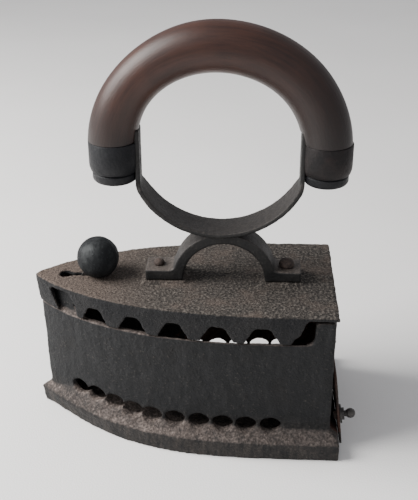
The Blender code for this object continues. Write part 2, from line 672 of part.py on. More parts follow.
def foot_pad(end, x0, x1):
    """A low cast pad with sloping sides, under one foot of the bracket."""
    loops = []
    for z, margin in ((LID_MIDDLE, PAD + PAD_MARGIN), (LID_TOP, PAD + PAD_MARGIN),
                      (LID_TOP + PAD, PAD_MARGIN)):
        half = BRIDGE_WIDTH / 2 + margin
        loops.append([Vector((x0 - margin, -half, z)), Vector((x1 + margin, -half, z)),
                      Vector((x1 + margin, half, z)), Vector((x0 - margin, half, z))])
    return loft(f"foot_pad_{end}", loops)


def make_lid(iron):
    inner = nested(LID_PLAN, SKIRT)
    lid = loft("lid_casting", [
        loop(inner, LID_UNDER), loop(inner, SKIRT_BOTTOM), loop(LID_PLAN, SKIRT_BOTTOM),
        loop(LID_TOP_PLAN, LID_TOP - LID_EDGE), loop(nested(LID_TOP_PLAN, LID_EDGE), LID_TOP)],
        iron)
    wide = LID_PLAN.half + SPARE
    for index, (setback, half_base) in enumerate(zip(ARCH_SETBACKS, ARCH_HALF_BASES)):
        cut(lid, slab(f"arch_cut_{index}", arch_outline(setback, half_base), -wide, wide))
    cut(lid, slab("nose_arch_cut", nose_arch_outline(), -wide, wide),
        slab("relief_cut", relief_outline(), -wide, wide))
    fuse(lid, foot_pad("front", FRONT_FOOT_END, FRONT_FOOT_END + FRONT_FOOT),
         foot_pad("rear", REAR_FOOT_END - REAR_FOOT, REAR_FOOT_END))
    behind = HINGE_X + LIP_BEHIND_PIN
    lip_half = HINGE_LUG_IN + HINGE_LUG / 2
    fuse(lid, block("back_lip", (behind - LIP_THICKNESS, -lip_half, WALL_TOP + LIP_CLEARANCE),
                    (behind, lip_half, LID_MIDDLE)))
    lug_in = SLOT_HALF + GAP
    for side in (-1, 1):
        fuse(lid,
             hanging_lug(f"hinge_lug_{side}", HINGE_X, HINGE_Z, HINGE_LUG_R,
                         side * HINGE_LUG_IN, side * HINGE_LUG_OUT),
             hanging_lug(f"latch_lug_{side}", LATCH_X, LATCH_Z, LATCH_LUG_R,
                         side * lug_in, side * (lug_in + LATCH_LUG)))
    reach = lug_in + LATCH_LUG + GAP
    cut(lid, latch_slot(),
        rod("lug_bore_cut", HINGE_PIN_R + GAP, (HINGE_X, -wide, HINGE_Z),
            (HINGE_X, wide, HINGE_Z)),
        rod("latch_bore_cut", LATCH_PIN_R + GAP, (LATCH_X, -reach, LATCH_Z),
            (LATCH_X, reach, LATCH_Z), sides=14))
    for end, x in BOLT_PLACES.items():
        cut(lid, rod(f"bolt_hole_cut_{end}", BOLT_R + GAP, (x, 0, LID_UNDER - SPARE),
                     (x, 0, LID_TOP + SPARE)))
    return lid


def make_hinge_pin(iron):
    """The lid's pin: it goes in from the far side, and the near ear covers its end."""
    blind = HINGE_SKIN + GAP - WALL_HALF_WIDTH
    return rod("lid_hinge_pin", HINGE_PIN_R, (HINGE_X, blind, HINGE_Z),
               (HINGE_X, WALL_HALF_WIDTH - GAP, HINGE_Z), iron)


# ---------------------------------------------------------------- latch
def about_latch(angle, radius, shift=0.0):
    """A point about the latch pivot; the angle runs from straight down towards the tip."""
    along = (-math.sin(angle), -math.cos(angle))
    across = (along[1], -along[0])
    return (LATCH_X + along[0] * radius + across[0] * shift,
            LATCH_Z + along[1] * radius + across[1] * shift)


def latch_sweep(radius, start, end, steps):
    return [about_latch(start + (end - start) * step / steps, radius)
            for step in range(steps + 1)]


def make_latch_lever(iron):
    """One forged flat: tenon and stem for the ball, a hub, and an arm with a round claw."""
    forward = math.pi / 2
    stem_side = math.asin(LEVER_STEM / 2 / LATCH_HUB_R)
    arm_side = math.asin(LEVER_ARM / 2 / LATCH_HUB_R)
    arm_outer = math.asin(LEVER_ARM / 2 / CLAW_OUTER_R)
    arm_inner = math.asin(LEVER_ARM / 2 / CLAW_INNER_R)
    shoulder = BALL_REACH - BALL_R - BALL_CLEARANCE
    tip = BALL_REACH - BALL_R + TENON_DEPTH
    outline = latch_sweep(CLAW_OUTER_R, forward + arm_outer, CLAW_START, 8)
    outline += latch_sweep(CLAW_INNER_R, CLAW_START, forward - arm_inner, 6)
    outline += latch_sweep(LATCH_HUB_R, forward - arm_side, STEM_ANGLE - math.tau + stem_side, 9)
    half_stem = LEVER_STEM / 2
    half_tenon = TENON / 2
    outline += [about_latch(STEM_ANGLE, shoulder, half_stem),
                about_latch(STEM_ANGLE, shoulder, half_tenon),
                about_latch(STEM_ANGLE, tip, half_tenon),
                about_latch(STEM_ANGLE, tip, -half_tenon),
                about_latch(STEM_ANGLE, shoulder, -half_tenon),
                about_latch(STEM_ANGLE, shoulder, -half_stem)]
    outline += latch_sweep(LATCH_HUB_R, STEM_ANGLE - stem_side, forward + arm_side, 3)
    lever = slab("latch_lever", outline, -LEVER_THICKNESS / 2, LEVER_THICKNESS / 2, iron)
    cut(lever, rod("lever_bore_cut", LATCH_PIN_R + GAP, (LATCH_X, -LEVER_THICKNESS, LATCH_Z),
                   (LATCH_X, LEVER_THICKNESS, LATCH_Z), sides=14))
    return lever


def make_latch_ball(iron):
    """A solid iron ball with a blind hole for the lever's tenon and a worn flat below."""
    rings = 12
    turns = [math.pi * step / rings for step in range(rings + 1)]
    profile = [(BALL_R * math.sin(turn), -BALL_R * math.cos(turn)) for turn in turns[1:-1]]
    profile = [(0, -BALL_R)] + profile + [(0, BALL_R)]
    stem = Vector((BALL_X - LATCH_X, 0, BALL_Z - LATCH_Z)).normalized()
    centre = Vector((BALL_X, 0, BALL_Z))
    ball = turned("latch_ball", profile, centre, stem, iron, sides=24)
    hole_r = math.hypot(TENON / 2, LEVER_THICKNESS / 2) + GAP
    depth = TENON_DEPTH + GAP
    seat = LID_TOP + BALL_CLEARANCE
    cut(ball,
        rod("ball_hole_cut", hole_r, centre - stem * (BALL_R + SPARE),
            centre - stem * (BALL_R - depth), sides=16),
        block("ball_seat_cut", (BALL_X - BALL_R, -BALL_R, seat - SPARE),
              (BALL_X + BALL_R, BALL_R, seat)))
    return ball


def make_latch_pin(iron):
    end = SLOT_HALF + GAP + LATCH_LUG + LATCH_PIN_PROUD
    return rod("latch_pin", LATCH_PIN_R, (LATCH_X, -end, LATCH_Z), (LATCH_X, end, LATCH_Z),
               iron, sides=14)


# ---------------------------------------------------------------- handle bracket
def strap_path(side):
    """Half of the strap from its lowest point up along the grip: (x, z, half width, angle)."""
    tang_x = side * (GRIP_BEND_R - TANG_OFFSET)
    stations = []
    for step in range(11):
        angle = STRAP_BEND * step / 10
        taper = max(0.0, step - 8) / 2
        half = (STRAP_WIDTH * (1 - taper * 0.25) + TANG_WIDTH * taper * 0.25) / 2
        stations.append((side * STRAP_R * math.sin(angle), STRAP_Z - STRAP_R * math.cos(angle),
                         half, angle))
    x0, z0 = stations[-1][0], stations[-1][1]
    run = (tang_x - x0) / (side * math.cos(STRAP_BEND))
    corner_z = z0 + run * math.sin(STRAP_BEND)
    end_z = corner_z + run
    for step in (1, 2, 3):
        t = step / 3
        x = (1 - t) ** 2 * x0 + 2 * t * (1 - t) * tang_x + t * t * tang_x
        z = (1 - t) ** 2 * z0 + 2 * t * (1 - t) * corner_z + t * t * end_z
        angle = STRAP_BEND + (math.pi / 2 - STRAP_BEND) * t
        half = (STRAP_WIDTH + (TANG_WIDTH - STRAP_WIDTH) * (0.25 + 0.75 * t)) / 2
        stations.append((x, z, half, angle))
    stations.append((tang_x, TANG_TOP, TANG_WIDTH / 2, math.pi / 2))
    return stations


def strap_body(name, grow, material=None):
    """The strap with both tangs; grow widens it all round, for cutting its seat."""
    front = [(x, z, half, -angle) for x, z, half, angle in strap_path(-1)]
    back = strap_path(1)
    loops = []
    for x, z, half, angle in list(reversed(front)) + back[1:]:
        middle = Vector((HANDLE_X + x, 0, z))
        normal = Vector((-math.sin(angle), 0, math.cos(angle))) * (STRAP_THICKNESS / 2 + grow)
        width = Vector((0, half + grow, 0))
        loops.append([middle - normal - width, middle - normal + width,
                      middle + normal + width, middle + normal - width])
    if grow:
        for ring, lift in ((loops[0], grow), (loops[-1], grow)):
            for point in ring:
                point.z += lift
    return loft(name, loops, material)


def bridge_outline():
    """The arch under the strap, with a foot at each end."""
    inner = arc(BRIDGE_X, FOOT_BOTTOM, BRIDGE_INNER_R, math.pi, 0, 22)
    front_end = inner[0][0] - FRONT_FOOT
    rear_end = inner[-1][0] + REAR_FOOT
    outer = []
    steps = 26
    for step in range(steps + 1):
        angle = math.pi * step / steps
        x = BRIDGE_X + BRIDGE_OUTER_R * math.cos(angle)
        z = FOOT_BOTTOM + BRIDGE_RISE * math.sin(angle)
        strap_z = STRAP_Z - math.sqrt(STRAP_R ** 2 - (x - HANDLE_X) ** 2)
        if z > FOOT_TOP + FOOT_FILLET:
            outer.append((x, min(z, strap_z)))
    rear_x = outer[0][0] + FOOT_FILLET * 0.5
    front_x = outer[-1][0] - FOOT_FILLET * 0.5
    outline = [(front_end, FOOT_BOTTOM)] + inner
    outline += [(rear_end, FOOT_BOTTOM), (rear_end, FOOT_TOP),
                (rear_x + FOOT_FILLET, FOOT_TOP), (rear_x, FOOT_TOP + FOOT_FILLET * 0.4)]
    outline += outer
    outline += [(front_x, FOOT_TOP + FOOT_FILLET * 0.4), (front_x - FOOT_FILLET, FOOT_TOP),
                (front_end, FOOT_TOP)]
    return outline


def make_bracket(iron):
    bracket = strap_body("handle_bracket", 0, iron)
    fuse(bracket, slab("bridge_arch", bridge_outline(), -BRIDGE_WIDTH / 2, BRIDGE_WIDTH / 2))
    for end, x in BOLT_PLACES.items():
        cut(bracket, rod(f"foot_hole_cut_{end}", BOLT_R + GAP, (x, 0, LID_UNDER),
                         (x, 0, FOOT_TOP + SPARE)))
    for side in (-1, 1):
        leg = HANDLE_X + side * GRIP_BEND_R
        inside = leg - side * (FERRULE_R + SPARE)
        for place, height in TANG_NAIL_HEIGHTS.items():
            z = GRIP_Z + height
            cut(bracket, rod(f"nail_hole_cut_{side}_{place}", TANG_NAIL_R + GAP,
                             (leg, 0, z), (inside, 0, z), sides=10))
    return bracket


def make_foot_bolt(name, x, head_r, head, iron):
    """A bolt from above: a domed head on the foot and a shank down through the lid."""
    seat = FOOT_TOP + GAP
    rim = head / 3
    dome = [(head_r * math.cos(angle), seat + rim + (head - rim) * math.sin(angle))
            for angle in (0, math.radians(30), math.radians(60))]
    tail = LID_UNDER - GAP - NUT_HEIGHT - BOLT_TAIL
    profile = [(BOLT_R, tail), (BOLT_R, seat), (head_r, seat)] + dome + [(0, seat + head)]
    return turned(name, profile, (x, 0, 0), (0, 0, 1), iron, sides=16)


def make_foot_nut(name, x, iron):
    """A square nut under the lid."""
    top = LID_UNDER - GAP
    nut = block(name, (x - NUT_FLAT, -NUT_FLAT, top - NUT_HEIGHT), (x + NUT_FLAT, NUT_FLAT, top),
                iron)
    cut(nut, rod(name + "_hole_cut", BOLT_R + GAP, (x, 0, top - 2 * NUT_HEIGHT),
                 (x, 0, top + NUT_HEIGHT), sides=16))
    return nut


# ---------------------------------------------------------------- grip
def bump(angle, middle, reach):
    """A smooth rise from 0 to 1 and back, centred on one angle."""
    share = min(abs(angle - middle) / reach, 1.0)
    return (1 + math.cos(math.pi * share)) / 2


def grip_bend(angle):
    """Bend radius and thickness of the grip at an angle up from its rear end."""
    out = GRIP_SHOULDER_OUT * bump(angle, GRIP_SHOULDER_ANGLE, GRIP_WEAR_REACH)
    out -= GRIP_CROWN_IN * bump(angle, GRIP_CROWN_ANGLE, GRIP_WEAR_REACH)
    worn = GRIP_WEAR * bump(angle, GRIP_WEAR_ANGLE, GRIP_WEAR_REACH)
    return GRIP_BEND_R + out, GRIP_R - worn


def make_grip(wood):
    """A half ring of turned wood whose ends are reduced to fit inside the ferrules."""
    sides = 24
    foot = FERRULE_BOTTOM + GAP
    shoulder = FERRULE_TOP + GAP
    first = math.asin((shoulder - GRIP_Z) / GRIP_BEND_R)
    steps = 24
    ring = []
    for step in range(steps + 1):
        angle = first + (math.pi - 2 * first) * step / steps
        bend, radius = grip_bend(angle)
        ring.append((bend * math.cos(angle), GRIP_Z + bend * math.sin(angle), angle, radius))
    rear = [(GRIP_BEND_R, foot, 0, GRIP_END_R), (GRIP_BEND_R, shoulder, 0, GRIP_END_R),
            (ring[0][0], shoulder, 0, ring[0][3])]
    front = [(-GRIP_BEND_R, foot, math.pi, GRIP_END_R),
             (-GRIP_BEND_R, shoulder, math.pi, GRIP_END_R),
             (ring[-1][0], shoulder, math.pi, ring[-1][3])]
    loops = []
    for x, z, angle, radius in rear + ring[1:-1] + front[::-1]:
        centre = Vector((HANDLE_X + x, 0, z))
        outward = Vector((math.cos(angle), 0, math.sin(angle)))
        turns = [math.tau * i / sides for i in range(sides)]
        loops.append([centre + outward * radius * math.cos(turn)
                      + Vector((0, radius * math.sin(turn), 0)) for turn in turns])
    return loft("wooden_grip", loops, wood)


def make_ferrule(name, leg, metal):
    """A thin metal sleeve over the end of the wood, drawn in a little at the bottom."""
    inner = GRIP_END_R + GAP
    profile = [(inner, FERRULE_BOTTOM), (FERRULE_R - FERRULE_TAPER, FERRULE_BOTTOM),
               (FERRULE_R, FERRULE_BOTTOM + FERRULE_TAPER_HEIGHT), (FERRULE_R, FERRULE_TOP),
               (inner, FERRULE_TOP)]
    return turned_ring(name, profile, (leg, 0, 0), (0, 0, 1), metal, sides=24)


def make_cap(name, leg, metal):
    """The cup that closes the grip's end, with a rounded bottom edge."""
    profile = arc(CAP_R - CAP_ROUND, CAP_BOTTOM + CAP_ROUND, CAP_ROUND, -math.pi / 2, 0, 3)
    profile.append((CAP_R, CAP_TOP))
    return turned(name, profile, (leg, 0, 0), (0, 0, 1), metal, sides=24)


def make_cap_screw(name, leg, proud, metal):
    """The screw that holds the cap up against the wood."""
    seat = CAP_BOTTOM - GAP
    profile = [(0, seat - proud), (CAP_SCREW_HEAD_R / 2, seat - proud * 0.85),
               (CAP_SCREW_HEAD_R, seat), (CAP_SCREW_R, seat),
               (CAP_SCREW_R, CAP_SCREW_TOP), (0, CAP_SCREW_TOP + CAP_SCREW_R)]
    return turned(name, profile, (leg, 0, 0), (0, 0, 1), metal, sides=12)


def make_tang_nails(end, side, metal):
    """Two nails through a tang into the wood, their heads filed flush."""
    leg = HANDLE_X + side * GRIP_BEND_R
    face = leg - side * (TANG_OFFSET + STRAP_THICKNESS / 2)
    inside = face + side * (STRAP_THICKNESS + TANG_NAIL_DEPTH)
    for place, height in TANG_NAIL_HEIGHTS.items():
        z = GRIP_Z + height
        rod(f"tang_nail_{end}_{place}", TANG_NAIL_R, (face, 0, z), (inside, 0, z), metal,
            sides=10)


def make_handle(wood, metal, iron):
    grip = make_grip(wood)
    for side, end, proud in ((-1, "front", FRONT_SCREW_PROUD), (1, "rear", REAR_SCREW_PROUD)):
        leg = HANDLE_X + side * GRIP_BEND_R
        ferrule = make_ferrule(f"ferrule_{end}", leg, metal)
        cap = make_cap(f"end_cap_{end}", leg, metal)
        make_cap_screw(f"cap_screw_{end}", leg, proud, metal)
        make_tang_nails(end, side, iron)
        screw_hole = rod(f"screw_hole_cut_{end}", CAP_SCREW_R + GAP, (leg, 0, CAP_BOTTOM - SPARE),
                         (leg, 0, CAP_SCREW_TOP + CAP_SCREW_R + GAP), sides=12)
        cut(cap, strap_body(f"cap_seat_cut_{end}", GAP), screw_hole)
        cut(ferrule, strap_body(f"ferrule_seat_cut_{end}", GAP))
        cut(grip, screw_hole)
        open_end = leg - side * (FERRULE_R + SPARE)
        blind_end = leg - side * (TANG_OFFSET - STRAP_THICKNESS / 2 - TANG_NAIL_DEPTH - GAP)
        for place, height in TANG_NAIL_HEIGHTS.items():
            z = GRIP_Z + height
            nail_hole = rod(f"nail_seat_cut_{end}_{place}", TANG_NAIL_R + GAP,
                            (open_end, 0, z), (blind_end, 0, z), sides=10)
            cut(grip, nail_hole)
    cut(grip, strap_body("grip_seat_cut", GAP))


# ---------------------------------------------------------------- draught door
def door_point(out, down):
    """A point in the door's own plane: outwards and down from its pivot, as it leans."""
    return (DOOR_X + out * math.cos(DOOR_LEAN) + down * math.sin(DOOR_LEAN),
            DOOR_Z + out * math.sin(DOOR_LEAN) - down * math.cos(DOOR_LEAN))


def door_neck():
    """The short flat stretch that joins the door's plate to its rolled knuckle."""
    bottom = DOOR_TOP_DROP + DOOR_THICKNESS
    half = DOOR_KNUCKLE_HALF - GAP
    back = DOOR_STEP - DOOR_INNER
    face = DOOR_OUTER - DOOR_STEP
    outline = [door_point(back, GAP), door_point(back, bottom), door_point(face, bottom),
               door_point(face, GAP)]
    return slab("door_neck", outline, -half, half)


def make_door(iron):
    """A flap hung from one rolled knuckle, leaning on the back edge of the sole."""
    length = (DOOR_Z - DOOR_GROUND) / math.cos(DOOR_LEAN)
    across = DOOR_HALF_WIDTH - DOOR_CORNER
    down = DOOR_TOP_DROP + DOOR_CORNER
    outline = arc(across, down, DOOR_CORNER, -math.pi / 2, 0, 4)
    outline += [(DOOR_HALF_WIDTH, length), (-DOOR_HALF_WIDTH, length)]
    outline += arc(-across, down, DOOR_CORNER, math.pi, math.pi * 1.5, 4)
    loops = []
    for out in (-DOOR_INNER, DOOR_OUTER):
        ring = []
        for y, drop in reversed(outline):
            x, z = door_point(out, drop)
            ring.append(Vector((x, y, z)))
        loops.append(ring)
    door = loft("draught_door", loops, iron)
    knuckle = rod("door_knuckle", DOOR_KNUCKLE_R, (DOOR_X, -DOOR_KNUCKLE_HALF, DOOR_Z),
                  (DOOR_X, DOOR_KNUCKLE_HALF, DOOR_Z), sides=16)
    fuse(door, knuckle, door_neck())
    centre, out = knob_axis()
    cut(door,
        rod("door_pin_cut", DOOR_PIN_R + GAP, (DOOR_X, -DOOR_KNUCKLE_HALF * 2, DOOR_Z),
            (DOOR_X, DOOR_KNUCKLE_HALF * 2, DOOR_Z), sides=12),
        rod("knob_hole_cut", KNOB_SHANK_R + GAP, centre - out * SPARE, centre + out * SPARE,
            sides=12))
    return door


def knob_axis():
    """Where the knob's axis leaves the door's outer face, and its direction."""
    down = (DOOR_Z - KNOB_Z) / math.cos(DOOR_LEAN)
    x, z = door_point(DOOR_OUTER, down)
    return Vector((x, KNOB_Y, z)), Vector((math.cos(DOOR_LEAN), 0, math.sin(DOOR_LEAN)))


def make_door_pin(iron):
    end = DOOR_KNUCKLE_HALF + GAP + DOOR_LUG + DOOR_PIN_PROUD
    return rod("door_hinge_pin", DOOR_PIN_R, (DOOR_X, -end, DOOR_Z), (DOOR_X, end, DOOR_Z), iron,
               sides=12)


def make_knob(iron):
    """A turned knob: shank, stepped flange, neck and a small ball."""
    centre, out = knob_axis()
    ball_at = KNOB_REACH - KNOB_BALL_R
    turns = [math.radians(angle) for angle in (40, 65, 90, 115, 140, 162)]
    ball = [(KNOB_BALL_R * math.sin(turn), ball_at - KNOB_BALL_R * math.cos(turn))
            for turn in turns]
    flange = GAP + KNOB_FLANGE
    step = flange + KNOB_STEP
    shank = -(DOOR_THICKNESS + GAP + KNOB_NUT + KNOB_TAIL)
    profile = [(KNOB_SHANK_R, shank), (KNOB_SHANK_R, GAP), (KNOB_FLANGE_R, GAP),
               (KNOB_FLANGE_R, flange), (KNOB_STEP_R, flange), (KNOB_STEP_R, step),
               (KNOB_NECK_R, step)]
    profile += ball + [(0, KNOB_REACH)]
    return turned("door_knob", profile, centre, out, iron, sides=16)


def make_knob_nut(iron):
    """The nut behind the door that holds the knob."""
    centre, out = knob_axis()
    front = -(DOOR_THICKNESS + GAP)
    profile = ring_profile(KNOB_SHANK_R + GAP, KNOB_NUT_R, front - KNOB_NUT, front)
    return turned_ring("knob_nut", profile, centre, out, iron, sides=6)


# ---------------------------------------------------------------- the whole iron
for old in list(bpy.data.objects):
    bpy.data.objects.remove(old)

wall_iron = finish_material("cast_iron_body", (0.075, 0.078, 0.080), 0.72, 0.55)
lid_iron = finish_material("cast_iron_lid", (0.125, 0.108, 0.092), 0.88, 0.35)
ball_iron = finish_material("ball_iron", (0.055, 0.058, 0.062), 0.55, 0.70)
forged_iron = finish_material("forged_iron", (0.085, 0.075, 0.068), 0.62, 0.60)
rusty_iron = finish_material("rusty_iron", (0.120, 0.070, 0.045), 0.90, 0.25)
ferrule_metal = finish_material("blackened_sleeve", (0.045, 0.040, 0.038), 0.60, 0.50)
grip_wood = finish_material("old_wood", (0.125, 0.055, 0.035), 0.50, 0.0)

make_body(wall_iron)
make_catch_pin(rusty_iron)
make_lid(lid_iron)
make_hinge_pin(rusty_iron)
make_latch_lever(forged_iron)
make_latch_ball(ball_iron)
make_latch_pin(rusty_iron)
make_bracket(forged_iron)
make_foot_bolt("foot_bolt_front", FRONT_BOLT_X, FRONT_HEAD_R, FRONT_HEAD, rusty_iron)
make_foot_bolt("foot_bolt_rear", REAR_BOLT_X, REAR_HEAD_R, REAR_HEAD, rusty_iron)
for end, x in BOLT_PLACES.items():
    make_foot_nut(f"foot_nut_{end}", x, rusty_iron)
make_handle(grip_wood, ferrule_metal, forged_iron)
make_door(wall_iron)
make_door_pin(rusty_iron)
make_knob(forged_iron)
make_knob_nut(rusty_iron)
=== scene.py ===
"""Looks of an old cast-iron charcoal clothes iron: rough castings, a forged bracket, a worn
half-round wooden grip and a loose ball latch.  Units are metres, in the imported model's frame:
the tip points to -X, the near side to -Y, +Z is up."""

import math

import bpy
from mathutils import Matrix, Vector


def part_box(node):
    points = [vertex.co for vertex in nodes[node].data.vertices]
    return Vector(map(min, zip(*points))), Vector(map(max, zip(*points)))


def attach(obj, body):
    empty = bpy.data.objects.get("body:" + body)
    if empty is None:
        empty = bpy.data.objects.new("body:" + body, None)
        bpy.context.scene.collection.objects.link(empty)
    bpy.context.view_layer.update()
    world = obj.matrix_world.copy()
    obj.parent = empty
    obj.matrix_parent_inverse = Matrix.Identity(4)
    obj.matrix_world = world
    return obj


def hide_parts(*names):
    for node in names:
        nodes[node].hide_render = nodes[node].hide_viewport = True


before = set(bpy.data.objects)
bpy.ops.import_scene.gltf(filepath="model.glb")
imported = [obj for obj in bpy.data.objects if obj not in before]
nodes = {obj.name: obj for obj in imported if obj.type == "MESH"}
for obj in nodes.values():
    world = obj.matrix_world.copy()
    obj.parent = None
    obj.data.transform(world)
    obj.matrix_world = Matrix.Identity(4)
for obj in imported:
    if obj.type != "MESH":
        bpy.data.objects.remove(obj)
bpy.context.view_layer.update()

MM = 0.001


# ------------------------------------------------------------------ floor, light and camera
# The iron stands on a pale cloth-covered table, lit by one big window at its upper left,
# with the weak light of a pale room from the other side.
def shader(name):
    """A new node material: the material, its node tree and its Principled node."""
    material = bpy.data.materials.new(name)
    material.use_nodes = True
    tree = material.node_tree
    tree.nodes.clear()
    surface = tree.nodes.new("ShaderNodeBsdfPrincipled")
    output = tree.nodes.new("ShaderNodeOutputMaterial")
    tree.links.new(surface.outputs["BSDF"], output.inputs["Surface"])
    return material, tree, surface


def object_space(tree, stretch=(1, 1, 1)):
    """The piece's own coordinates, stretched for a pattern."""
    place = tree.nodes.new("ShaderNodeTexCoord")
    mapping = tree.nodes.new("ShaderNodeMapping")
    mapping.inputs["Scale"].default_value = stretch
    tree.links.new(place.outputs["Object"], mapping.inputs["Vector"])
    return mapping.outputs["Vector"]


def noise(tree, space, size, detail=3.0, rough=0.55, warp=0.0):
    """Cloudy noise whose patches are about the given size, in metres."""
    node = tree.nodes.new("ShaderNodeTexNoise")
    node.inputs["Scale"].default_value = 1 / size
    node.inputs["Detail"].default_value = detail
    node.inputs["Roughness"].default_value = rough
    node.inputs["Distortion"].default_value = warp
    tree.links.new(space, node.inputs["Vector"])
    return node.outputs["Fac"]


def ramp(tree, value, *stops):
    """A colour ramp; each stop is a place and a grey value or an RGB colour."""
    node = tree.nodes.new("ShaderNodeValToRGB")
    marks = node.color_ramp.elements
    while len(marks) < len(stops):
        marks.new(0.5)
    for mark, (place, colour) in zip(marks, stops):
        if isinstance(colour, (int, float)):
            colour = (colour, colour, colour)
        mark.position = place
        mark.color = (*colour, 1)
    tree.links.new(value, node.inputs["Fac"])
    return node.outputs["Color"]


def relief(tree, surface, *layers):
    """Bump from several heights; each layer is a height socket and its depth in metres."""
    normal = None
    for height, depth in layers:
        node = tree.nodes.new("ShaderNodeBump")
        node.inputs["Distance"].default_value = depth
        node.inputs["Strength"].default_value = 1.0
        tree.links.new(height, node.inputs["Height"])
        if normal:
            tree.links.new(normal, node.inputs["Normal"])
        normal = node.outputs["Normal"]
    tree.links.new(normal, surface.inputs["Normal"])


def pick_nothing():
    """Leave object mode clean: nothing selected."""
    if bpy.context.object and bpy.context.object.mode != "OBJECT":
        bpy.ops.object.mode_set(mode="OBJECT")
    bpy.ops.object.select_all(action="DESELECT")


def table_cloth():
    """Matt off-white cotton with a faint weave; its very soft folds are only painted shade."""
    material, tree, surface = shader("pale_cloth")
    space = object_space(tree)
    # painted shade: faint light and dark patches in the colour stand in for the shade of soft
    # folds
    fold_shade = noise(tree, space, 250 * MM, detail=2)
    thread = noise(tree, space, 1.2 * MM, detail=2)
    tone = ramp(tree, fold_shade, (0.3, (0.86, 0.845, 0.83)), (0.7, (0.90, 0.885, 0.87)))
    tree.links.new(tone, surface.inputs["Base Color"])
    surface.inputs["Roughness"].default_value = 0.95
    surface.inputs["Specular IOR Level"].default_value = 0.2
    relief(tree, surface, (thread, 0.2 * MM))
    return material


FLOOR_SIZE = 12.0
pick_nothing()
bpy.ops.mesh.primitive_plane_add(size=FLOOR_SIZE, location=(0, 0, 0))
floor = bpy.context.object
floor.name = "table_cloth"
floor.data.materials.append(table_cloth())

room = bpy.data.worlds.new("pale_room")
bpy.context.scene.world = room
room.use_nodes = True
sky = room.node_tree.nodes["Background"]
sky.inputs["Color"].default_value = (0.95, 0.96, 1.0, 1)
sky.inputs["Strength"].default_value = 0.50

LIGHT_AIM = Vector((0, 0, 0.12))


def area_light(name, place, size, power, colour):
    """A square area light that shines on the middle of the iron."""
    bpy.ops.object.light_add(type="AREA", location=place)
    light = bpy.context.object
    light.name = name
    light.data.size = size
    light.data.energy = power
    light.data.color = colour
    light.rotation_euler = (LIGHT_AIM - Vector(place)).to_track_quat("-Z", "Y").to_euler()


area_light("window", place=(-0.88, -0.10, 0.80), size=0.8, power=37.0, colour=(1.0, 0.99, 0.97))
area_light("room_bounce", place=(1.0, -1.6, 1.2), size=1.6, power=2.0, colour=(0.93, 0.95, 1.0))

EYE = (0.0398, -0.5650, 0.4114)
EYE_YAW = -0.0423                   # radians to the right of +Y
EYE_PITCH = 0.4713                  # radians down
LENS = 69.2                         # focal length and film width, in mm
FILM_WIDTH = 36.0
bpy.ops.object.camera_add(location=EYE)
camera = bpy.context.object
look = Vector((math.sin(EYE_YAW) * math.cos(EYE_PITCH),
               math.cos(EYE_YAW) * math.cos(EYE_PITCH), -math.sin(EYE_PITCH)))
camera.rotation_euler = look.to_track_quat("-Z", "Y").to_euler()
camera.data.lens = LENS
camera.data.sensor_width = FILM_WIDTH
bpy.context.scene.camera = camera


# ------------------------------------------------------------------ firebox
# The body is one sand casting in grey iron: sole, flange, walls with vents, ears and nose
# rib.  Its faces are smoother than the lid's, blackened by heat, and dusty on the ledges; the
# dust thickens towards the nose as painted window light, which falls from that side.
def pick(piece):
    """Make one object the only selected and active one."""
    pick_nothing()
    piece.select_set(True)
    bpy.context.view_layer.objects.active = piece


def math_node(tree, operation, first, second=0.5):
    """One math node; either input may be a number or a socket."""
    node = tree.nodes.new("ShaderNodeMath")
    node.operation = operation
    for index, value in enumerate((first, second)):
        if isinstance(value, (int, float)):
            node.inputs[index].default_value = value
        else:
            tree.links.new(value, node.inputs[index])
    return node.outputs["Value"]


def mixed(tree, share, first, second):
    """Two colours mixed by a share; each may be a colour or a socket."""
    node = tree.nodes.new("ShaderNodeMix")
    node.data_type = "RGBA"
    if isinstance(share, (int, float)):
        node.inputs["Factor"].default_value = share
    else:
        tree.links.new(share, node.inputs["Factor"])
    # inputs 6 and 7 and output 2 are the node's colour sockets, which share their names
    for socket, value in ((node.inputs[6], first), (node.inputs[7], second)):
        if isinstance(value, tuple):
            socket.default_value = (*value, 1)
        else:
            tree.links.new(value, socket)
    return node.outputs[2]


def skin_of(node, name):
    """A loose copy of a CAD node, with its doubles merged, to be given a cast skin."""
    pick_nothing()
    copy = nodes[node].copy()
    copy.data = nodes[node].data.copy()
    for tag in list(copy.keys()):
        if tag.startswith("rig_"):
            del copy[tag]
    copy.parent = None
    copy.name = name
    bpy.context.scene.collection.objects.link(copy)
    pick(copy)
    bpy.ops.object.mode_set(mode="EDIT")
    bpy.ops.mesh.select_all(action="SELECT")
    bpy.ops.mesh.remove_doubles(threshold=0.01 * MM)
    bpy.ops.object.mode_set(mode="OBJECT")
    copy.data.materials.clear()
    return copy


def modifier(piece, kind, **settings):
    """Add a modifier, set it up and apply it."""
    pick(piece)
    added = piece.modifiers.new(kind.lower(), kind)
    for key, value in settings.items():
        setattr(added, key, value)
    bpy.ops.object.modifier_apply(modifier=added.name)


def grain(name, size):
    """A cloud pattern for displacing a surface."""
    pattern = bpy.data.textures.new(name, "CLOUDS")
    pattern.noise_scale = size
    pattern.noise_depth = 2
    pattern.noise_basis = "ORIGINAL_PERLIN"
    return pattern


def cast_skin(piece, voxel, rounds, grains):
    """Remesh a casting finely, soften its edges and push grains of a size and depth into it."""
    modifier(piece, "REMESH", mode="VOXEL", voxel_size=voxel)
    modifier(piece, "SMOOTH", factor=0.5, iterations=rounds)
    for index, (size, depth) in enumerate(grains):
        pattern = grain(f"{piece.name}_grain_{index}", size)
        modifier(piece, "DISPLACE", texture=pattern, texture_coords="LOCAL",
                 strength=depth, mid_level=0.5)
    pick(piece)
    bpy.ops.object.shade_smooth()


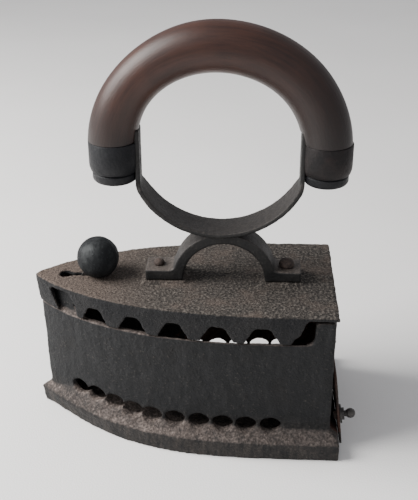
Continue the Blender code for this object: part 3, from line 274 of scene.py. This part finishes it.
sole_low, sole_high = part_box("body_casting")
INSIDE_TIP = sole_low.x + 12.5 * MM     # the firebox's inside, a little past its faces
INSIDE_BACK = sole_high.x - 9.5 * MM
INSIDE_HALF = 47.6 * MM
PLAN_FULLNESS = 3.3                     # how late the plan narrows to its point
SOLE_THICK = 12.0 * MM
PER_LENGTH = 5.0                        # one over the iron's length, in metres
PER_GRIME_HEIGHT = 30.0                 # one over the height that grime reaches


def wall_iron():
    """Blue-black smooth-cast iron, dusty on slopes and ledges, rusty inside and at the back.
    Towards the nose the dust is laid on thicker: that part is painted window light.
    """
    material, tree, surface = shader("firebox_iron")
    space = object_space(tree)
    streaks = object_space(tree, (1, 1, 0.25))
    geometry = tree.nodes.new("ShaderNodeNewGeometry")
    split = tree.nodes.new("ShaderNodeSeparateXYZ")
    tree.links.new(geometry.outputs["Normal"], split.inputs["Vector"])
    place = tree.nodes.new("ShaderNodeSeparateXYZ")
    tree.links.new(space, place.inputs["Vector"])
    fine = noise(tree, space, 1.6 * MM, detail=3, rough=0.6)
    blotch = noise(tree, space, 18 * MM, detail=4, rough=0.6)
    streak = noise(tree, streaks, 4 * MM, detail=3, rough=0.6)
    base = ramp(tree, blotch, (0.30, (0.0035, 0.004, 0.005)), (0.55, (0.0075, 0.008, 0.009)),
                (0.75, (0.013, 0.0125, 0.0125)))
    base = mixed(tree, ramp(tree, streak, (0.45, 0), (0.75, 0.45)), base,
                 (0.026, 0.026, 0.027))
    base = mixed(tree, ramp(tree, fine, (0.60, 0), (0.72, 0.6)), base, (0.070, 0.062, 0.055))
    low_down = ramp(tree, math_node(tree, "MULTIPLY", place.outputs["Z"], PER_GRIME_HEIGHT),
                    (0.30, 0.85), (0.42, 0.6), (0.85, 0.0))
    grimy = math_node(tree, "MULTIPLY", low_down, ramp(tree, streak, (0.35, 0.15), (0.65, 0.9)))
    base = mixed(tree, grimy, base, ramp(tree, fine, (0.35, (0.024, 0.020, 0.018)),
                                         (0.65, (0.060, 0.050, 0.044))))
    facing_up = ramp(tree, split.outputs["Z"], (0.25, 0), (0.75, 1))
    # painted light: the dust grows towards the nose to stand in for the window light falling from
    # that side
    towards_nose = ramp(tree, math_node(tree, "MULTIPLY_ADD", place.outputs["X"], PER_LENGTH),
                        (0.05, 1.0), (0.5, 0.75), (0.95, 0.45))
    patchy = ramp(tree, noise(tree, space, 5 * MM, detail=4, rough=0.65), (0.30, 0.35), (0.60, 1))
    dust_and_window_light_share = math_node(tree, "MULTIPLY", facing_up,
                           math_node(tree, "MULTIPLY", towards_nose, patchy))
    dust = ramp(tree, fine, (0.35, (0.050, 0.039, 0.034)), (0.50, (0.11, 0.086, 0.075)),
                (0.68, (0.23, 0.185, 0.165)))
    base = mixed(tree, dust_and_window_light_share, base, dust)
    edge = ramp(tree, geometry.outputs["Pointiness"], (0.53, 0), (0.62, 0.5))
    base = mixed(tree, edge, base, (0.085, 0.073, 0.065))
    to_back = math_node(tree, "DIVIDE", math_node(tree, "SUBTRACT", INSIDE_BACK,
                                                  place.outputs["X"]),
                        INSIDE_BACK - INSIDE_TIP)
    half = math_node(tree, "SUBTRACT", INSIDE_HALF, math_node(
        tree, "MULTIPLY", INSIDE_HALF, math_node(tree, "POWER", to_back, PLAN_FULLNESS)))
    within = math_node(tree, "LESS_THAN", math_node(tree, "ABSOLUTE", place.outputs["Y"]), half)
    above_sole = math_node(tree, "GREATER_THAN", place.outputs["Z"], SOLE_THICK)
    burnt = math_node(tree, "MULTIPLY", within, above_sole)
    base = mixed(tree, burnt, base, ramp(tree, blotch, (0.35, (0.020, 0.011, 0.009)),
                                         (0.65, (0.070, 0.034, 0.025))))
    tree.links.new(base, surface.inputs["Base Color"])
    surface.inputs["Metallic"].default_value = 0.25
    matt = ramp(tree, blotch, (0.3, 0.66), (0.7, 0.84))
    tree.links.new(matt, surface.inputs["Roughness"])
    surface.inputs["Specular IOR Level"].default_value = 0.4
    dents = noise(tree, space, 4.5 * MM, detail=3)
    relief(tree, surface, (fine, 0.9 * MM), (dents, 0.9 * MM))
    return material


firebox = skin_of("body_casting", "firebox")
cast_skin(firebox, voxel=1.1 * MM, rounds=3, grains=((9 * MM, 0.8 * MM), (3 * MM, 0.6 * MM)))
firebox.data.materials.append(wall_iron())
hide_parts("body_casting")
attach(firebox, "root")


# ------------------------------------------------------------------ lid
# The lid is a second sand casting, rougher than the body: a pitted, dusty top plate whose
# edges have rounded with use, and a smoother skirt with a row of smoke arches.
def lid_iron():
    """Pitted grey-brown cast iron with light speckles and warm dust towards the tip."""
    material, tree, surface = shader("lid_iron")
    space = object_space(tree)
    geometry = tree.nodes.new("ShaderNodeNewGeometry")
    split = tree.nodes.new("ShaderNodeSeparateXYZ")
    tree.links.new(geometry.outputs["Normal"], split.inputs["Vector"])
    fine = noise(tree, space, 1.7 * MM, detail=3, rough=0.65)
    speck = noise(tree, space, 1.1 * MM, detail=2, rough=0.7)
    blotch = noise(tree, space, 22 * MM, detail=4, rough=0.6)
    place = tree.nodes.new("ShaderNodeSeparateXYZ")
    tree.links.new(space, place.inputs["Vector"])
    side = ramp(tree, blotch, (0.30, (0.006, 0.0065, 0.008)), (0.70, (0.017, 0.0165, 0.017)))
    side = mixed(tree, ramp(tree, speck, (0.58, 0), (0.72, 0.5)), side, (0.060, 0.055, 0.052))
    top = ramp(tree, fine, (0.36, (0.010, 0.0085, 0.008)), (0.50, (0.036, 0.031, 0.027)),
               (0.64, (0.135, 0.118, 0.102)))
    warm = ramp(tree, blotch, (0.46, 0), (0.64, 0.55))
    towards_nose = ramp(tree, math_node(tree, "MULTIPLY_ADD", place.outputs["X"], PER_LENGTH),
                        (0.02, 1.0), (0.22, 0.75), (0.42, 0.1), (1.0, 0.0))
    warm = math_node(tree, "MAXIMUM", warm, towards_nose)
    top = mixed(tree, warm, top, ramp(tree, speck, (0.35, (0.036, 0.025, 0.020)),
                                      (0.65, (0.155, 0.118, 0.097))))
    facing_up = ramp(tree, split.outputs["Z"], (0.35, 0), (0.80, 1))
    base = mixed(tree, facing_up, side, top)
    edge = ramp(tree, geometry.outputs["Pointiness"], (0.53, 0), (0.62, 0.5))
    base = mixed(tree, edge, base, (0.10, 0.085, 0.073))
    tree.links.new(base, surface.inputs["Base Color"])
    surface.inputs["Metallic"].default_value = 0.2
    surface.inputs["Roughness"].default_value = 0.86
    surface.inputs["Specular IOR Level"].default_value = 0.4
    relief(tree, surface, (fine, 1.2 * MM), (speck, 0.5 * MM))
    return material


lid = skin_of("lid_casting", "lid")
cast_skin(lid, voxel=0.8 * MM, rounds=3, grains=((7 * MM, 0.8 * MM), (2.4 * MM, 0.9 * MM)))
lid.data.materials.append(lid_iron())
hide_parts("lid_casting")
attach(lid, "lid")


# ------------------------------------------------------------------ ball latch
# A solid iron ball, forged round by eye and mottled by handling, with a worn flat where it
# rests on the lid.  It sits on a flat lever that goes down through the slot in the lid.
def handled_iron(name, dark, light, rough):
    """Dark iron with cloudy patches rubbed lighter, and a faint tooth."""
    material, tree, surface = shader(name)
    space = object_space(tree)
    patch = noise(tree, space, 10 * MM, detail=4, rough=0.62, warp=0.4)
    tooth = noise(tree, space, 1.5 * MM, detail=3, rough=0.6)
    iron_tone = ramp(tree, patch, (0.42, dark), (0.60, light))
    worn = tuple(min(1.0, part * 2.4) for part in light)
    base = mixed(tree, ramp(tree, tooth, (0.58, 0), (0.72, 0.6)), iron_tone, worn)
    tree.links.new(base, surface.inputs["Base Color"])
    surface.inputs["Metallic"].default_value = 0.45
    tree.links.new(ramp(tree, patch, (0.35, rough + 0.1), (0.65, rough - 0.08)),
                   surface.inputs["Roughness"])
    relief(tree, surface, (tooth, 0.35 * MM), (patch, 0.8 * MM))
    return material


SHARP_ANGLE = math.radians(35)


def made(name, body, material, stands_for):
    """Name the piece in hand, put its place in its mesh, and hang it on its body."""
    piece = bpy.context.object
    pick(piece)
    bpy.ops.object.transform_apply(location=True, rotation=True, scale=True)
    bpy.ops.object.mode_set(mode="EDIT")
    bpy.ops.mesh.select_all(action="SELECT")
    bpy.ops.mesh.remove_doubles(threshold=0.02 * MM)
    bpy.ops.mesh.normals_make_consistent(inside=False)
    bpy.ops.object.mode_set(mode="OBJECT")
    piece.name = name
    piece.data.materials.clear()
    piece.data.materials.append(material)
    bpy.ops.object.shade_smooth_by_angle(angle=SHARP_ANGLE)
    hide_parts(stands_for)
    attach(piece, body)


ball_low, ball_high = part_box("latch_ball")
BALL_R = (ball_high.y - ball_low.y) / 2
BALL_CENTRE = Vector(((ball_low.x + ball_high.x) / 2, 0, ball_high.z - BALL_R))
BALL_SIDES = 64
BALL_SPARE = 0.1 * MM               # what the dents take off
SEAT_RISE = 0.2 * MM                # air under the worn flat

pick_nothing()
bpy.ops.mesh.primitive_uv_sphere_add(segments=BALL_SIDES, ring_count=BALL_SIDES // 2,
                                     radius=BALL_R + BALL_SPARE, location=BALL_CENTRE)
ball = bpy.context.object
bpy.ops.object.mode_set(mode="EDIT")
bpy.ops.mesh.bisect(plane_co=(0, 0, ball_low.z + SEAT_RISE), plane_no=(0, 0, -1),
                    use_fill=True, clear_outer=True)
bpy.ops.object.mode_set(mode="OBJECT")
bpy.ops.object.transform_apply(location=True)
modifier(ball, "SUBSURF", levels=1, render_levels=1)
for size, depth in ((12 * MM, 0.7 * MM), (3 * MM, 0.15 * MM)):
    modifier(ball, "DISPLACE", texture=grain(f"ball_dents_{size}", size),
             texture_coords="LOCAL", strength=depth, mid_level=0.5)
ball_iron = handled_iron("ball_iron", dark=(0.005, 0.006, 0.0075), light=(0.020, 0.022, 0.023),
                         rough=0.68)
made("ball", "latch", ball_iron, "latch_ball")


# ------------------------------------------------------------------ handle bracket
# One forging: a flat strap that swells round and rises into the ends of the grip, and a low
# bridge under it whose two feet are bolted to the lid.  Its upper faces are painted lighter,
# as painted light from above; the rest is sooty, and the feet are dusty.
LID_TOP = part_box("lid_casting")[1].z
PER_DUST_HEIGHT = 60.0              # one over the height that dust reaches, in metres


def forged_iron():
    """Grey-brown forged iron, sooty, with painted light from above on its upper faces, and dusted
    where the feet lie flat.
    """
    material, tree, surface = shader("forged_bracket_iron")
    space = object_space(tree)
    geometry = tree.nodes.new("ShaderNodeNewGeometry")
    split = tree.nodes.new("ShaderNodeSeparateXYZ")
    tree.links.new(geometry.outputs["Normal"], split.inputs["Vector"])
    place = tree.nodes.new("ShaderNodeSeparateXYZ")
    tree.links.new(space, place.inputs["Vector"])
    patch = noise(tree, space, 14 * MM, detail=4, rough=0.6)
    tooth = noise(tree, space, 1.6 * MM, detail=3, rough=0.65)
    base = ramp(tree, patch, (0.35, (0.007, 0.007, 0.0075)), (0.65, (0.020, 0.019, 0.018)))
    base = mixed(tree, ramp(tree, tooth, (0.58, 0), (0.74, 0.5)), base, (0.060, 0.052, 0.046))
    # painted light from above: faces that point up get a lighter iron colour than the sooty sides
    lit_from_above = ramp(tree, split.outputs["Z"], (0.15, 0), (0.60, 0.75))
    iron_tone = ramp(tree, tooth, (0.35, (0.028, 0.024, 0.023)), (0.65, (0.058, 0.050, 0.045)))
    base = mixed(tree, lit_from_above, base, iron_tone)
    low = math_node(tree, "SUBTRACT", place.outputs["Z"], LID_TOP)
    near_lid = ramp(tree, math_node(tree, "MULTIPLY", low, PER_DUST_HEIGHT), (0.35, 1), (0.75, 0))
    flat_up = ramp(tree, split.outputs["Z"], (0.75, 0), (0.95, 1))
    dusty = math_node(tree, "MULTIPLY", near_lid, flat_up)
    base = mixed(tree, dusty, base, ramp(tree, tooth, (0.35, (0.045, 0.037, 0.032)),
                                         (0.65, (0.13, 0.107, 0.093))))
    tree.links.new(base, surface.inputs["Base Color"])
    surface.inputs["Metallic"].default_value = 0.3
    tree.links.new(ramp(tree, patch, (0.3, 0.52), (0.7, 0.70)), surface.inputs["Roughness"])
    relief(tree, surface, (tooth, 0.4 * MM), (patch, 0.6 * MM))
    return material


bracket = skin_of("handle_bracket", "bracket")
cast_skin(bracket, voxel=0.6 * MM, rounds=4, grains=((10 * MM, 0.5 * MM), (2.4 * MM, 0.2 * MM)))
bracket.data.materials.append(forged_iron())
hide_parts("handle_bracket")
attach(bracket, "lid")


# ------------------------------------------------------------------ foot bolts
# Two bolts come down through the bracket's feet into square nuts under the lid.  The front
# one has a small flat dome, the rear one a tall rusty dome.
def turn_up(centre, rings, sides=32, hollow=False):
    """A turned piece: a circle extruded up and scaled ring by ring, about an upright axis."""
    pick_nothing()
    radius, height = rings[0]
    bpy.ops.mesh.primitive_circle_add(vertices=sides, radius=radius,
                                      location=(centre[0], centre[1], height))
    bpy.ops.object.mode_set(mode="EDIT")
    bpy.ops.mesh.select_all(action="SELECT")
    if not hollow:
        bpy.ops.mesh.edge_face_add()
    for (last_radius, last_height), (radius, height) in zip(rings, rings[1:]):
        bpy.ops.mesh.extrude_region_move(
            TRANSFORM_OT_translate={"value": (0, 0, height - last_height)})
        share = radius / last_radius
        bpy.ops.transform.resize(value=(share, share, 1),
                                 center_override=(centre[0], centre[1], height))
    if hollow:
        bpy.ops.mesh.select_all(action="DESELECT")
        bpy.ops.mesh.select_non_manifold()
        bpy.ops.mesh.bridge_edge_loops()
    bpy.ops.object.mode_set(mode="OBJECT")
    return bpy.context.object


TOP_FLAT = 0.08                     # share of a dome that is flat on top


def dome(radius, foot, height, edge, steps=6):
    """Rings of a domed head: an upright edge, then a quarter ellipse up to the middle."""
    rings = [(radius, foot), (radius, foot + edge)]
    for step in range(1, steps):
        turn = math.pi / 2 * step / steps
        rings.append((radius * math.cos(turn), foot + edge + (height - edge) * math.sin(turn)))
    return rings + [(radius * TOP_FLAT, foot + height)]


def rust(name, dark, light):
    """Brown rust over iron: cloudy, matt and grainy."""
    material, tree, surface = shader(name)
    space = object_space(tree)
    cloud = noise(tree, space, 3 * MM, detail=4, rough=0.65)
    grit = noise(tree, space, 1.0 * MM, detail=2, rough=0.6)
    base = ramp(tree, cloud, (0.35, dark), (0.65, light))
    base = mixed(tree, ramp(tree, grit, (0.60, 0), (0.75, 0.5)), base, (0.16, 0.11, 0.08))
    tree.links.new(base, surface.inputs["Base Color"])
    surface.inputs["Metallic"].default_value = 0.15
    surface.inputs["Roughness"].default_value = 0.85
    relief(tree, surface, (grit, 0.3 * MM), (cloud, 0.6 * MM))
    return material


bolt_rust = rust("bolt_rust", dark=(0.020, 0.014, 0.012), light=(0.062, 0.042, 0.034))
SHANK_R = 2.7 * MM
HEAD_DENTS = 4 * MM
for end, head, edge in (("front", 3.4 * MM, 0.7 * MM), ("rear", 5.4 * MM, 1.6 * MM)):
    low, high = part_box(f"foot_bolt_{end}")
    radius = (high.y - low.y) / 2
    middle = ((low.x + high.x) / 2, 0)
    seat = high.z - head
    rings = [(SHANK_R, low.z), (SHANK_R, seat)] + dome(radius - 0.1 * MM, seat, head, edge)
    bolt = turn_up(middle, rings)
    modifier(bolt, "SUBSURF", levels=1, render_levels=1)
    modifier(bolt, "DISPLACE", texture=grain(f"bolt_{end}_dents", HEAD_DENTS),
             texture_coords="LOCAL", strength=0.35 * MM, mid_level=0.5)
    made(f"bolt_{end}", "lid", bolt_rust, f"foot_bolt_{end}")


# ------------------------------------------------------------------ wooden grip
# A half ring of hardwood, turned down at its ends to sit in metal sleeves.  A century of
# hands has polished it dark red-brown; its rear end is charred darker.
def half_ring_space(tree, along):
    """Coordinates that follow the half ring: outwards, across, and along the bend."""
    place = tree.nodes.new("ShaderNodeTexCoord")
    split = tree.nodes.new("ShaderNodeSeparateXYZ")
    tree.links.new(place.outputs["Object"], split.inputs["Vector"])
    right = math_node(tree, "SUBTRACT", split.outputs["X"], GRIP_CENTRE.x)
    up = math_node(tree, "SUBTRACT", split.outputs["Z"], GRIP_CENTRE.z)
    turn = math_node(tree, "ARCTAN2", up, right)
    out = math_node(tree, "SQRT", math_node(tree, "ADD", math_node(tree, "MULTIPLY", right, right),
                                            math_node(tree, "MULTIPLY", up, up)))
    join = tree.nodes.new("ShaderNodeCombineXYZ")
    tree.links.new(out, join.inputs["X"])
    tree.links.new(split.outputs["Y"], join.inputs["Y"])
    tree.links.new(math_node(tree, "MULTIPLY", turn, GRIP_BEND * along), join.inputs["Z"])
    return join.outputs["Vector"], turn


def grip_wood():
    """Dark polished hardwood: faint grain along the bend, worn patches, charred ends."""
    material, tree, surface = shader("old_grip_wood")
    grain_space, turn = half_ring_space(tree, 0.10)
    space = object_space(tree)
    figure = noise(tree, grain_space, 2.2 * MM, detail=4, rough=0.6)
    cloud = noise(tree, space, 28 * MM, detail=3, rough=0.5)
    pores = noise(tree, half_ring_space(tree, 0.25)[0], 0.7 * MM, detail=2, rough=0.6)
    base = ramp(tree, figure, (0.30, (0.020, 0.0075, 0.0055)), (0.70, (0.042, 0.0160, 0.0105)))
    worn = ramp(tree, cloud, (0.40, 0), (0.66, 0.45))
    base = mixed(tree, worn, base, (0.066, 0.0260, 0.0165))
    around = math_node(tree, "DIVIDE", turn, math.pi)
    char = ramp(tree, around, (0.05, 0.90), (0.45, 0.0))
    base = mixed(tree, char, base, (0.0075, 0.0055, 0.0055))
    front_char = ramp(tree, around, (0.78, 0.0), (0.97, 0.80))
    base = mixed(tree, front_char, base, (0.0095, 0.0068, 0.0065))
    base = mixed(tree, ramp(tree, pores, (0.60, 0), (0.75, 0.5)), base, (0.012, 0.008, 0.007))
    tree.links.new(base, surface.inputs["Base Color"])
    tree.links.new(ramp(tree, cloud, (0.3, 0.52), (0.7, 0.38)), surface.inputs["Roughness"])
    surface.inputs["Specular IOR Level"].default_value = 0.34
    surface.inputs["Coat Weight"].default_value = 0.10
    surface.inputs["Coat Roughness"].default_value = 0.35
    relief(tree, surface, (pores, 0.12 * MM), (figure, 0.15 * MM))
    return material


def cut_box(piece, low, high):
    """Cut a straight-sided recess out of a piece."""
    pick_nothing()
    middle = [(a + b) / 2 for a, b in zip(low, high)]
    bpy.ops.mesh.primitive_cube_add(size=1, location=middle)
    cutter = bpy.context.object
    cutter.scale = [b - a for a, b in zip(low, high)]
    bpy.ops.object.transform_apply(location=True, scale=True)
    modifier(piece, "BOOLEAN", operation="DIFFERENCE", solver="EXACT", object=cutter)
    bpy.data.objects.remove(cutter)


grip_low, grip_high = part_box("wooden_grip")
sleeve_low, sleeve_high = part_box("ferrule_front")
rear_sleeve_low, rear_sleeve_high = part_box("ferrule_rear")
GRIP_R = (grip_high.y - grip_low.y) / 2
FRONT_LEG = sleeve_low.x + (sleeve_high.y - sleeve_low.y) / 2
REAR_LEG = rear_sleeve_high.x - (rear_sleeve_high.y - rear_sleeve_low.y) / 2
GRIP_BEND = (REAR_LEG - FRONT_LEG) / 2
SLEEVE_TOP = sleeve_high.z
SLEEVE_ABOVE = 6.5 * MM             # sleeves' top above the half ring's centre
GRIP_CENTRE = Vector(((REAR_LEG + FRONT_LEG) / 2, 0, SLEEVE_TOP - SLEEVE_ABOVE))
WOOD_END_R = 14.2 * MM
AIR = 0.3 * MM                      # left between two pieces that touch
GRIP_STEPS = 56
GRIP_SIDES = 40
TANG_HALF = 7.3 * MM
PAST = 2 * MM                       # how far a cutter runs past what it cuts
TANG_DEEP = 13.3 * MM               # leg's axis to the bottom of the tang's recess
TANG_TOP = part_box("handle_bracket")[1].z + AIR
WOOD_FOOT = grip_low.z
SHOULDER = SLEEVE_TOP + AIR
SHOULDER_OUT = 1.2 * MM             # the front shoulder stands out a little,
SHOULDER_ANGLE = 155                # in degrees up from the rear end,
CROWN_IN = 0.9 * MM                 # the crown behind it is lower,
CROWN_ANGLE = 75
WORN_OFF = 1.1 * MM                 # and the shoulder is worn thinner
WORN_ANGLE = 137
BUMP_REACH = 45                     # degrees each way that these fade out over


def bump(angle, middle):
    """A smooth rise from 0 to 1 and back, centred on one angle in degrees."""
    share = min(abs(math.degrees(angle) - middle) / BUMP_REACH, 1.0)
    return (1 + math.cos(math.pi * share)) / 2


def grip_ring(angle):
    """Bend radius and thickness of the grip at an angle up from its rear end."""
    out = SHOULDER_OUT * bump(angle, SHOULDER_ANGLE) - CROWN_IN * bump(angle, CROWN_ANGLE)
    return GRIP_BEND + out, GRIP_R - WORN_OFF * bump(angle, WORN_ANGLE)


def carry_ring(share=None, move=None, turn=None, about=None):
    """Extrude the chosen ring, then move, turn and scale the new one."""
    bpy.ops.mesh.extrude_region_move()
    if move is not None:
        bpy.ops.transform.translate(value=move)
    if turn is not None:
        bpy.ops.transform.rotate(value=turn, orient_axis="Y", center_override=GRIP_CENTRE)
    if share is not None:
        bpy.ops.transform.resize(value=(share, share, share), center_override=about)


start = math.asin((SHOULDER - GRIP_CENTRE.z) / GRIP_BEND)
step = (math.pi - 2 * start) / GRIP_STEPS
flat_inset = GRIP_BEND * (1 - math.cos(start))
rear_foot = Vector((REAR_LEG, 0, WOOD_FOOT))
up_to_shoulder = Vector((0, 0, SHOULDER - WOOD_FOOT))
pick_nothing()
bpy.ops.mesh.primitive_circle_add(vertices=GRIP_SIDES, radius=WOOD_END_R, location=rear_foot)
grip = bpy.context.object
bpy.ops.object.transform_apply(location=True)
bpy.ops.object.mode_set(mode="EDIT")
bpy.ops.mesh.select_all(action="SELECT")
bpy.ops.mesh.edge_face_add()
carry_ring(move=up_to_shoulder)
carry_ring(share=GRIP_R / WOOD_END_R, about=rear_foot + up_to_shoulder)
bpy.ops.transform.translate(value=(-flat_inset, 0, 0))
carry_ring(move=(flat_inset, 0, GRIP_CENTRE.z - SHOULDER), turn=start + step)
last_bend, last_r = GRIP_BEND, GRIP_R
for count in range(1, GRIP_STEPS):
    angle = start + step * count
    bend, radius = grip_ring(angle)
    outward = Vector((math.cos(angle), 0, math.sin(angle)))
    if count > 1:
        carry_ring(turn=step)
    bpy.ops.transform.translate(value=outward * (bend - last_bend))
    share = radius / last_r
    bpy.ops.transform.resize(value=(share, share, share),
                             center_override=GRIP_CENTRE + outward * bend)
    last_bend, last_r = bend, radius
carry_ring(turn=start + step)
bpy.ops.transform.translate(value=(flat_inset, 0, SHOULDER - GRIP_CENTRE.z))
front_foot = Vector((FRONT_LEG, 0, WOOD_FOOT))
carry_ring(share=WOOD_END_R / GRIP_R, about=front_foot + up_to_shoulder)
carry_ring(move=-up_to_shoulder)
bpy.ops.object.mode_set(mode="OBJECT")
for leg, side in ((REAR_LEG, -1), (FRONT_LEG, 1)):
    ends = sorted((leg + side * TANG_DEEP, leg + side * (GRIP_R + PAST)))
    cut_box(grip, (ends[0], -TANG_HALF, WOOD_FOOT - MM), (ends[1], TANG_HALF, TANG_TOP))
made("grip", "lid", grip_wood(), "wooden_grip")


# ------------------------------------------------------------------ sleeves and end caps
# Sheet-metal sleeves over the grip's ends, drawn in a little at the bottom, each closed by a
# rounded cup.  They are soot-black in front, varnished brown behind, with a dull worn gloss.
def sleeve_metal(name, dark, light):
    """Blackened sheet metal with cloudy varnish, small pits and a few rubbed marks."""
    material, tree, surface = shader(name)
    space = object_space(tree)
    cloud = noise(tree, space, 9 * MM, detail=4, rough=0.6)
    pits = noise(tree, space, 1.8 * MM, detail=3, rough=0.65)
    base = ramp(tree, cloud, (0.32, dark), (0.68, light))
    worn = tuple(part * 2.2 for part in light)
    base = mixed(tree, ramp(tree, pits, (0.62, 0), (0.74, 0.6)), base, worn)
    tree.links.new(base, surface.inputs["Base Color"])
    surface.inputs["Metallic"].default_value = 0.1
    surface.inputs["Specular IOR Level"].default_value = 0.3
    tree.links.new(ramp(tree, cloud, (0.3, 0.62), (0.7, 0.46)), surface.inputs["Roughness"])
    relief(tree, surface, (pits, 0.3 * MM), (cloud, 0.6 * MM))
    return material


black_sleeve = sleeve_metal("black_sleeve", dark=(0.003, 0.0035, 0.005),
                            light=(0.009, 0.009, 0.011))
brown_sleeve = sleeve_metal("brown_sleeve", dark=(0.004, 0.0035, 0.004),
                            light=(0.014, 0.009, 0.0085))
SLEEVE_R = (sleeve_high.y - sleeve_low.y) / 2
SLEEVE_BORE = WOOD_END_R + AIR
SLEEVE_FOOT = sleeve_low.z
DRAWN_IN = 1.0 * MM                 # how much narrower a sleeve is at its foot
TAPER_END = 5.5 * MM                # height where it is full width
TAPER_SHOULDER = 3.0 * MM           # and where it is nearly so
BEAD = 0.5 * MM                     # worn edge of a sleeve
CAP_SLOT_MARGIN = 6 * MM            # a cap's flat, past the tang on each side
CAP_ROUND = 3 * MM
CAP_LIFT = 0.2 * MM                 # what the cap's underside is rounded by
CAP_RIM = 1.2 * MM
SIDES = 56
for end, leg, side, metal, slot in (
        ("front", FRONT_LEG, 1, black_sleeve, "sleeve_metal"),
        ("rear", REAR_LEG, -1, brown_sleeve, "rear_sleeve_metal")):
    rings = [(SLEEVE_BORE, SLEEVE_FOOT), (SLEEVE_R - DRAWN_IN - 0.3 * MM, SLEEVE_FOOT),
             (SLEEVE_R - DRAWN_IN, SLEEVE_FOOT + BEAD),
             (SLEEVE_R - DRAWN_IN / 4, SLEEVE_FOOT + TAPER_SHOULDER),
             (SLEEVE_R - 0.05 * MM, SLEEVE_FOOT + TAPER_END),
             (SLEEVE_R - 0.05 * MM, SLEEVE_TOP - BEAD), (SLEEVE_R - 0.35 * MM, SLEEVE_TOP),
             (SLEEVE_BORE, SLEEVE_TOP)]
    sleeve = turn_up((leg, 0), rings, sides=SIDES, hollow=True)
    bpy.ops.object.transform_apply(location=True)
    ends = sorted((leg + side * TANG_DEEP, leg + side * (SLEEVE_R + PAST)))
    cut_box(sleeve, (ends[0], -TANG_HALF, SLEEVE_FOOT - MM), (ends[1], TANG_HALF, SLEEVE_TOP + MM))
    made(f"sleeve_{end}", "lid", metal, f"ferrule_{end}")

    low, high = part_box(f"end_cap_{end}")
    radius = (high.y - low.y) / 2
    rings = [(radius * 0.30, low.z + 0.15 * MM), (radius - CAP_ROUND - MM, low.z + CAP_LIFT)]
    for degrees in (20, 40, 60, 80):
        turn = math.radians(degrees)
        rings.append((radius - CAP_ROUND * (1 - math.sin(turn)),
                      low.z + CAP_LIFT + CAP_ROUND * (1 - math.cos(turn))))
    rings += [(radius, high.z - CAP_RIM), (radius - 0.5 * MM, high.z - CAP_RIM / 2),
              (radius - MM, high.z)]
    cap = turn_up((leg, 0), rings, sides=SIDES)
    bpy.ops.object.transform_apply(location=True)
    ends = sorted((leg + side * TANG_DEEP, leg + side * (radius + PAST)))
    half = TANG_HALF + CAP_SLOT_MARGIN
    cut_box(cap, (ends[0], -half, low.z - MM), (ends[1], half, high.z + MM))
    made(f"cap_{end}", "lid", black_sleeve, f"end_cap_{end}")


# ------------------------------------------------------------------ draught door
# A thin cast flap that hangs from a rolled knuckle on the back wall and leans on the sole's
# edge, with a small turned ball knob to lift it by.
door = skin_of("draught_door", "door")
cast_skin(door, voxel=0.6 * MM, rounds=2, grains=((8 * MM, 0.35 * MM),))
door.data.materials.append(bpy.data.materials["firebox_iron"])
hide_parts("draught_door")
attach(door, "door")


# ------------------------------------------------------------------ pins, nails and nuts
# The small forged fastenings that hold it all together.  Most are hidden; their heads and
# ends are rusty.
knob_iron = handled_iron("knob_iron", dark=(0.024, 0.023, 0.023), light=(0.052, 0.048, 0.045),
                         rough=0.48)
tang_iron = handled_iron("tang_iron", dark=(0.020, 0.019, 0.018), light=(0.045, 0.041, 0.038),
                         rough=0.60)
tang_nails = [f"tang_nail_{end}_{row}" for end in ("front", "rear") for row in ("lower", "upper")]
rusty_parts = ["catch_pin", "lid_hinge_pin", "latch_pin", "foot_nut_front", "foot_nut_rear",
               "cap_screw_front", "cap_screw_rear", "door_hinge_pin", "knob_nut"]
for names, iron in ((rusty_parts, bolt_rust), (["door_knob"], knob_iron),
                    (["latch_lever"] + tang_nails, tang_iron)):
    for name in names:
        for place in nodes[name].material_slots:
            place.material = iron
